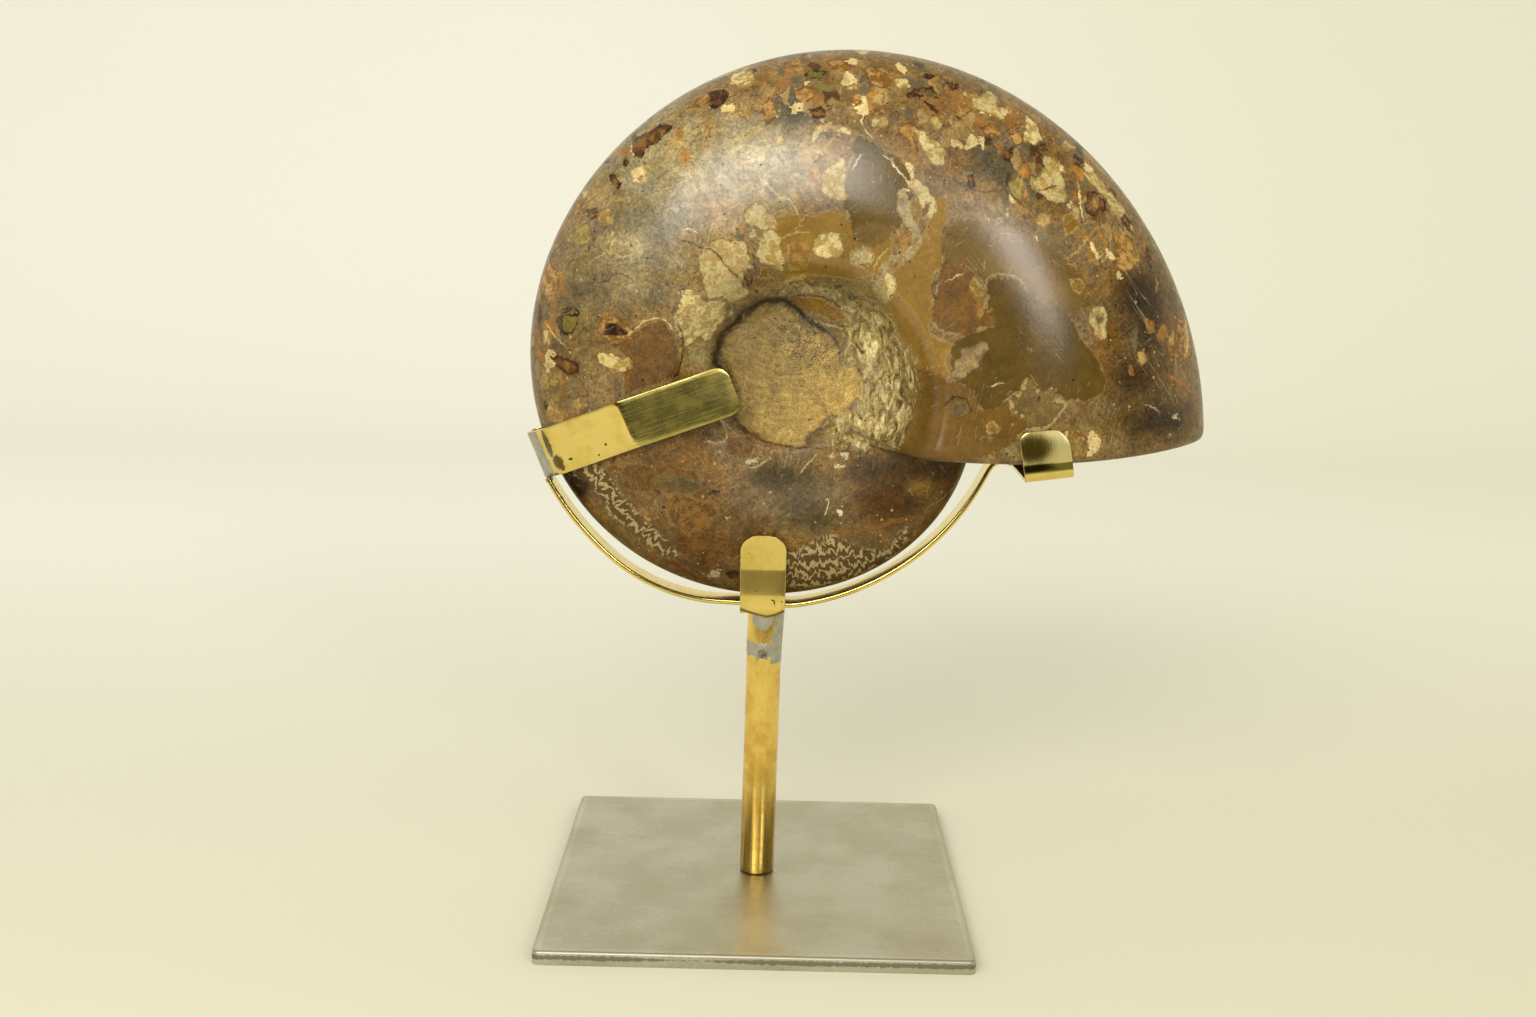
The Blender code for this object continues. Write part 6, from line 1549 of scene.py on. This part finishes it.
# Bottom clip: up from the post's head behind and in front, and out over the stone's lower flank
floor_z = BAND_RIGHT_LOW[1] - GAP - 0.5 * STRIP_THICK
bottom_origin, upright = Vector((0.0, 0.0, floor_z)), Vector((0.0, 0.0, 1.0))
front_y = -0.5 * BAND_WIDE - REST_GAP - 0.5 * STRIP_THICK
resting = over_the_stone(bottom_origin, upright, 0.0080, 0.0313, 24)
tight = pulled_tight(sorted(resting + [(0.0065, -0.0079), (0.0185, -0.0144)]))
gentle = [(0.0042, -0.0077), (0.0066, -0.00815), (0.0090, -0.0093)]
path = [(0.0260, REAR_Y, False), (0.0, REAR_Y, True), (0.0, front_y, True)]
path += [(a, b, False) for a, b in gentle + tight[1:]]


def bottom_lift(run, breadth, rear):
    if rear:
        return 0.0
    return -0.30 * (breadth / 8.0) ** 2 + handled(run, breadth, 0.12)


marks = ((4.4, -4.3, 1.0, 0.3, 0.95), (5.4, -3.7, 0.4, 0.5, 0.9), (4.9, -7.0, 0.3, 0.4, 0.8), (9.3, 2.5, 0.28, 0.28, 0.8), (24.5, 5.2, 0.2, 0.2, 0.8))
bottom_clip = bent_clip(
    "bottom_clip_brass", bottom_origin, upright, with_bends(path, TIGHT_BEND), 0.0065, "bottom_clip",
    buffed_brass("buffed_sheet_brass", marks), lift_of=bottom_lift,
)
# Its front heel was snipped to a blunt point over the post
for vert in bottom_clip.data.vertices:
    if vert.co.y < -0.0050 and vert.co.z < floor_z + 0.0035:
        share = min((-0.0050 - vert.co.y) / 0.0012, 1.0) * min((floor_z + 0.0035 - vert.co.z) / 0.0020, 1.0)
        vert.co.z += 0.001 * share * float(np.interp(vert.co.x, (-0.0083, -0.004, 0.0016, 0.0045, 0.0083), (1.2, -0.1, -1.4, -0.8, 0.8)))

# Left arm: from behind the cut, round the rim, on to the flank and over it to the cup
arm_origin = Vector((-0.0830, 0.0, 0.1621))
arm_axis = Vector((math.cos(math.radians(22.3)), 0.0, math.sin(math.radians(22.3))))
resting = over_the_stone(arm_origin, arm_axis, 0.0030, 0.0550, 50, ARM_WIDE)
knees = [(0.0085, -0.0112), (0.0375, -0.0254), (0.0630, -0.0252), (0.0770, -0.0236)]
arm_tight = pulled_tight([(0.0, 0.0010)] + sorted(resting + knees))
path = [(0.0240, REAR_Y, False), (0.0, REAR_Y, True)] + [(a, b, False) for a, b in arm_tight]


def arm_lift(run, breadth, rear):
    if rear:
        return 0.0
    tip = max(0.0, run - 66.0) / 11.0
    curl = 0.5 * max(0.0, (-breadth - 5.5) / 3.3) ** 2 * max(0.0, 1.0 - abs(run - 33.0) / 12.0)
    return handled(run, breadth, 0.10) - 0.12 * (breadth / 8.8) ** 4 - 0.5 * tip * tip - curl


def arm_bow(run):
    """The arm isn't straight in its own plane: it was bent a little off square at its fold."""
    return 0.9 * max(0.0, min(run, 37.5)) / 37.5 - 1.5 * max(0.0, run - 37.5) / 39.5


marks = (
    (7.3, 3.0, 1.2, 5.2, 0.85), (8.6, -4.2, 1.9, 2.6, 0.85), (9.4, -6.6, 1.0, 1.2, 0.8), (13.6, -4.6, 0.8, 0.5, 0.95),
    (28.3, -3.9, 0.5, 0.4, 0.9), (24.3, -6.6, 0.5, 0.4, 0.8), (61.0, 5.2, 0.4, 0.4, 0.9), (64.5, 4.6, 0.3, 0.3, 0.7),
)
# Past its fold at 38.5 mm the arm's colour is tinted olive, a painted reflection of the darker room it faces there
left_arm = bent_clip(
    "left_arm_brass", arm_origin, arm_axis, with_bends(path, BEND_RADIUS), 0.0045, "left_arm_clip",
    buffed_brass("buffed_sheet_brass_painted_olive_beyond_its_fold", marks, 38.5), ARM_WIDE, arm_lift, arm_bow,
)

# Right clip: a short prong that hooks the broken lip from below
right_tilt = math.radians(8.0)
right_origin = Vector((0.0965, 0.0, 0.1643))
right_axis = Vector((-math.sin(right_tilt), 0.0, math.cos(right_tilt)))
resting = over_the_stone(right_origin, right_axis, 0.0050, 0.0165, 12)
outermost = min(b for a, b in resting)
tight = pulled_tight([(0.0026, outermost - 0.0006)] + resting)
path = [(0.0200, REAR_Y, False), (0.0, REAR_Y, True), (0.0, outermost + 0.0006, True)]
path += [(a, b, False) for a, b in tight]


def right_lift(run, breadth, rear):
    if rear:
        return 0.0
    up = max(0.0, min(1.0, (run - 3.6) / 11.0))
    swell = 2.0 * math.sin(0.5 * math.pi * up) * max(0.0, (8.2 - breadth) / 16.5) ** 1.3
    return swell + handled(run, breadth, 0.10)


right_clip = bent_clip(
    "right_clip_brass", right_origin, right_axis, with_bends(path, BEND_RADIUS), 0.0034, "right_clip",
    buffed_brass("buffed_sheet_brass_of_right_clip", (), browned=(2.3, 3.0, 5.3, "#6d6230"), rubbed_pale=(11.0, 4.6, 5.0, 6.8, 5.2)), lift_of=right_lift,
    bow=lambda run: 0.06 * max(0.0, run),
)
# Its outer corner was filed rounder than the inner one
for vert, run in zip(right_clip.data.vertices, right_clip.data.attributes["run"].data):
    along, breadth, rear = run.vector
    if rear == 0.0:
        trim = (max(0.0, -breadth - 3.2) / 5.0) ** 2 * min(max(along - 8.0, 0.0) / 8.0, 1.0)
        vert.co -= right_axis * (0.0026 * trim)


def arc_run(start, side, arcs):
    """Points up one side of the cradle's middle line, from its lowest place, and the last slope."""
    points, slope = [start], 0.0
    for radius, turn in arcs:
        reach = radius - 0.5 * BAND_THICK
        here, steps = points[-1], max(2, math.ceil(turn / math.radians(1.5)))
        for i in range(1, steps + 1):
            rise = slope + turn * i / steps
            run_x = reach * (math.sin(rise) - math.sin(slope))
            points.append(here + Vector((side * run_x, 0.0, reach * (math.cos(slope) - math.cos(rise)))))
        slope += turn
    return points, slope


half = 0.5 * BAND_THICK
left_side, _ = arc_run(Vector((BAND_LEFT_LOW[0], 0.0, BAND_LEFT_LOW[1] + half)), -1, BAND_LEFT_ARCS)
right_side, slope = arc_run(Vector((BAND_RIGHT_LOW[0], 0.0, BAND_RIGHT_LOW[1] + half)), 1, BAND_RIGHT_ARCS)
# The right end runs on straight, turns in under the stone and laps over the clip's floor
lap = 0.5 * (STRIP_THICK + BAND_THICK) + GAP
turned = Vector((math.sin(slope) - math.sin(right_tilt), 0.0, math.cos(right_tilt) - math.cos(slope)))
straight = Vector((math.cos(slope), 0.0, math.sin(slope)))
short = (right_origin + right_axis * lap - right_side[-1] - turned * BAND_FOOT_BEND).dot(right_axis)
start = right_side[-1] + straight * (short / straight.dot(right_axis))
right_side.append(start)
for i in range(1, 9):
    rise = slope + (right_tilt - slope) * i / 8
    shift = Vector((math.sin(slope) - math.sin(rise), 0.0, math.cos(rise) - math.cos(slope)))
    right_side.append(start + shift * BAND_FOOT_BEND)
along = Vector((right_axis.z, 0.0, -right_axis.x))
left_to_go = (right_origin - along * (0.5 * STRIP_WIDE - BAND_LAP) - right_side[-1]).dot(along)
right_side.append(right_side[-1] + along * left_to_go)
right_side = [point for point in right_side if point.x > BAND_JOIN_X - GAP]
left_side.append(left_side[-1] + (left_side[-1] - left_side[-2]).normalized() * 0.0009)
band_path = evened(list(reversed(left_side)) + right_side, 0.0015, 3)
band_run = [0.0]
for a, b in zip(band_path, band_path[1:]):
    band_run.append(band_run[-1] + (b - a).length * 1000.0)
marks = ((0.6, -3.0, 1.2, 3.0, 0.9), (9.0, -4.0, 0.8, 0.8, 0.9), (56.0, -2.0, 0.45, 0.45, 0.9), (60.5, -1.5, 0.35, 0.35, 0.8), (76.0, -3.0, 0.5, 0.5, 0.9))
band = swept_strip(
    "cradle_band_brass", band_path, Vector((0.0, 1.0, 0.0)), [0.5 * BAND_WIDE] * len(band_path), BAND_THICK, BAND_EASE,
    buffed_brass("drawn_brass_band", marks), lambda i, point, breadth: (band_run[i], breadth, 0.0),
)
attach(band, "root")
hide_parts("cradle_band")

# ---------------------------------------------------------------- solder
# Soft solder, run in cold and left as it set: a ragged skin round the post's head, a pad on the
# slanted face beside the arm's elbow, and a bead under the cradle's right end.
SOLDER_GREY, SOLDER_PALE, SOLDER_PIT = "#a9a698", "#c4c1b4", "#5d594c"

# Tin-lead solder, dull from the air: a soft light grey with a frosty grain, no clear reflections,
# and dark little pits where flux boiled out of it.
solder, tree = new_surface("dull_soft_solder")
coords = add(tree, "ShaderNodeTexCoord")
mm = add(tree, "ShaderNodeVectorMath", coords.outputs["Object"], (1000.0, 1000.0, 1000.0), operation="MULTIPLY")
frost = add(tree, "ShaderNodeTexNoise", mm, 1.3, 5.0, at={"Roughness": 0.7})
worn = add(tree, "ShaderNodeTexNoise", mm, 0.30, 3.0)
pits = add(tree, "ShaderNodeTexVoronoi", mm, 0.55)
kind = add(tree, "ShaderNodeSeparateColor", pits.outputs["Color"])
pitted = add(tree, "LESS_THAN", pits.outputs["Distance"], add(tree, "MULTIPLY", add(tree, "POWER", kind.outputs["Red"], 3.0), 0.17))
body = add(tree, "ShaderNodeMix", add(tree, "ShaderNodeMapRange", add(tree, "ADD", frost, worn), 0.75, 1.25, 0.0, 1.0), data_type="RGBA")
body.inputs["A"].default_value = linear(SOLDER_GREY)
body.inputs["B"].default_value = linear(SOLDER_PALE)
marked = add(tree, "ShaderNodeMix", add(tree, "MULTIPLY", pitted, 0.8), data_type="RGBA")
tree.links.new(body.outputs["Result"], marked.inputs["A"])
marked.inputs["B"].default_value = linear(SOLDER_PIT)
# Flux burnt on to it in one place on the post's ring
from_burn = add(tree, "ShaderNodeVectorMath", mm, (0.4, -6.3, 91.2), operation="DISTANCE")
burnt = add(tree, "MULTIPLY", add(tree, "ShaderNodeMapRange", from_burn.outputs["Value"], 2.2, 1.4, 0.0, 0.85), add(tree, "ShaderNodeMapRange", frost, 0.42, 0.55, 0.2, 1.0))
marked = add(tree, "ShaderNodeMix", burnt, marked.outputs["Result"], linear("#4a4638"), data_type="RGBA")
rough = add(tree, "ShaderNodeMapRange", frost, 0.3, 0.7, 0.38, 0.55)
bump = add(tree, "ShaderNodeBump", at={"Strength": 0.5, "Distance": 0.0002, "Height": add(tree, "SUBTRACT", frost, pitted)})
shader = add(tree, "ShaderNodeBsdfPrincipled", at={"Metallic": 1.0, "Roughness": rough, "Normal": bump})
tree.links.new(marked.outputs["Result"], shader.inputs["Base Color"])
add(tree, "ShaderNodeOutputMaterial", shader)


def skin(name, columns, rows, place, depth, replaced, around=False):
    """A skin of solder over a surface: it lies where its depth, in mm, is above nothing. Place turns
    a column, a row and a lift in mm into a point."""
    form = bmesh.new()
    deep = [[depth(i, j) for j in range(rows)] for i in range(columns)]
    inner, outer = {}, {}

    def corner(store, i, j, lift):
        if (i, j) not in store:
            store[i, j] = form.verts.new(place(i, j, lift))
        return store[i, j]

    for i in range(columns if around else columns - 1):
        for j in range(rows - 1):
            spots = [(i, j), ((i + 1) % columns, j), ((i + 1) % columns, j + 1), (i, j + 1)]
            if min(deep[a][b] for a, b in spots) <= 0.0:
                continue
            form.faces.new([corner(outer, a, b, 0.03 + deep[a][b]) for a, b in spots])
            form.faces.new([corner(inner, a, b, 0.01) for a, b in reversed(spots)])
    rims = [edge for edge in form.edges if edge.is_boundary and all(v in outer.values() for v in edge.verts)]
    partner = {outer[key]: inner[key] for key in outer}
    for edge in rims:
        a, b = edge.verts
        form.faces.new((a, b, partner[b], partner[a]))
    piece = add_piece(name, form, solder, 60.0)
    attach(piece, "root")
    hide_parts(replaced)
    return piece


def blob(x, z, middle_x, middle_z, reach_x, reach_z):
    """How far a place is inside a rounded patch: 1 in its middle, 0 at its rim."""
    return 1.0 - math.hypot((x - middle_x) / reach_x, (z - middle_z) / reach_z)


def post_depth(i, j):
    """Solder round the post's head: a ring, a drop under the clip and a run between them."""
    turn = 2 * math.pi * i / 180
    round_mm = 6.35 * (turn if turn < math.pi else turn - 2 * math.pi)
    z = 105.9 - 0.15 * j
    ragged = 1.1 * noise.noise(Vector((round_mm * 0.8, z * 0.5, 3.0))) + 0.5 * noise.noise(Vector((round_mm * 2.1, z * 2.0, 8.0)))
    teeth = 2.3 * max(0.0, 1.0 - abs(round_mm + 2.5) / 1.2) + 1.3 * max(0.0, 1.0 - abs(round_mm - 1.1) / 1.0)
    teeth += 1.2 * max(0.0, 1.0 - abs(round_mm - 4.4) / 1.3) + 0.8 * max(0.0, math.sin(round_mm * 0.9 + 2.0))
    ring = min(95.2 + 0.5 * ragged - z, z - (90.0 - teeth)) / 1.2
    drop = 2.2 * blob(round_mm, z, -0.9, 105.0, 4.3, 5.2)
    run_down = min(1.0, (round_mm - 2.4 - 0.16 * (z - 94.0) * (z > 98.0) + 0.4 * ragged) / 0.9) * (round_mm < 11.5)
    sliver = 1.6 * blob(round_mm, z, 5.6, 99.5, 0.75, 3.6)
    behind = ((round_mm - 8.5) if round_mm > 0.0 else (-round_mm - 10.6)) / 1.5 + 0.6 * ragged
    best = max(ring, drop + 0.15 * ragged, run_down - max(0.0, sliver), behind)
    swell = 0.45 * max(0.0, min(1.0, (round_mm - 3.0) / 6.0)) * max(0.0, min(1.0, (z - 91.0) / 12.0))
    swell += 0.45 * max(0.0, blob(round_mm, z, -0.9, 105.6, 4.6, 5.4)) ** 0.5
    return min(0.14, 0.16 * best) + swell + 0.05 * ragged if best > 0.0 else -1.0


skin(
    "post_head_solder", 180, 125,
    lambda i, j, lift: leaning(POST_RADIUS + lift * 0.001, 2 * math.pi * i / 180 - math.pi / 2, 0.1059 - 0.00015 * j),
    post_depth, "post_solder", around=True,
)

# The pad beside the elbow, laid on the arm's first slanted face
(a, b), (c, d) = arm_tight[:2]
slant = (arm_axis * (c - a) + Vector((0.0, d - b, 0.0))).normalized()
arm_across = Vector((-arm_axis.z, 0.0, arm_axis.x))
slant_out = slant.cross(arm_across).normalized()
pad_start = arm_origin + arm_axis * a + Vector((0.0, b, 0.0)) + slant_out * (0.5 * STRIP_THICK)


def pad_depth(i, j):
    """Solder on the slanted face, ragged along the side toward the arm's flat part."""
    along, breadth = 0.8 + 8.7 * i / 60, 17.6 * (j / 100 - 0.5)
    ragged = noise.noise(Vector((along * 0.5, breadth * 0.35, 1.0))) + 0.4 * noise.noise(Vector((along * 1.9, breadth * 1.4, 5.0)))
    far = 8.9 - 0.12 * (breadth + 8.8) * 0.8 + 1.1 * ragged
    inside = min(along - 0.6, far - along, 8.7 - abs(breadth) + 0.2 * ragged)
    return min(0.55, 0.35 * inside) + 0.12 * ragged if inside > 0.0 else -1.0


skin(
    "left_elbow_solder", 61, 101,
    lambda i, j, lift: pad_start
    + slant * (0.0008 + 0.0087 * i / 60)
    + arm_across * (ARM_WIDE * (j / 100 - 0.5))
    + slant_out * (lift * 0.001),
    pad_depth, "left_solder",
)

# The bead under the cradle's right end, in the corner against the clip's floor
form = bmesh.new()
bead_corner = right_origin - along * (0.5 * STRIP_WIDE + GAP) + right_axis * 0.5 * STRIP_THICK
rings = []
for i in range(41):
    y = 0.90 * BAND_WIDE * (i / 40 - 0.5)
    swell = 1.0 + 0.25 * noise.noise(Vector((y * 600.0, 2.0, 0.0)))
    swell *= math.sqrt(max(0.02, 1.0 - (2.0 * i / 40 - 1.0) ** 8))
    section = [(0.0, 0.0), (-1.8, 0.0)]
    section += [(-1.8 * (1 - t) ** 1.6, -1.3 * t ** 1.6) for t in (0.2, 0.35, 0.5, 0.65, 0.8)] + [(0.0, -1.3)]
    rings.append([form.verts.new(bead_corner + Vector((0.0, y, 0.0)) + (along * a + right_axis * b) * (swell * 0.001)) for a, b in section])
for here, after in zip(rings, rings[1:]):
    for k in range(len(here)):
        m = (k + 1) % len(here)
        form.faces.new((here[k], here[m], after[m], after[k]))
form.faces.new(list(reversed(rings[0])))
form.faces.new(rings[-1])
bead = add_piece("right_joint_solder", form, solder, 50.0)
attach(bead, "root")
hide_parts("right_solder")
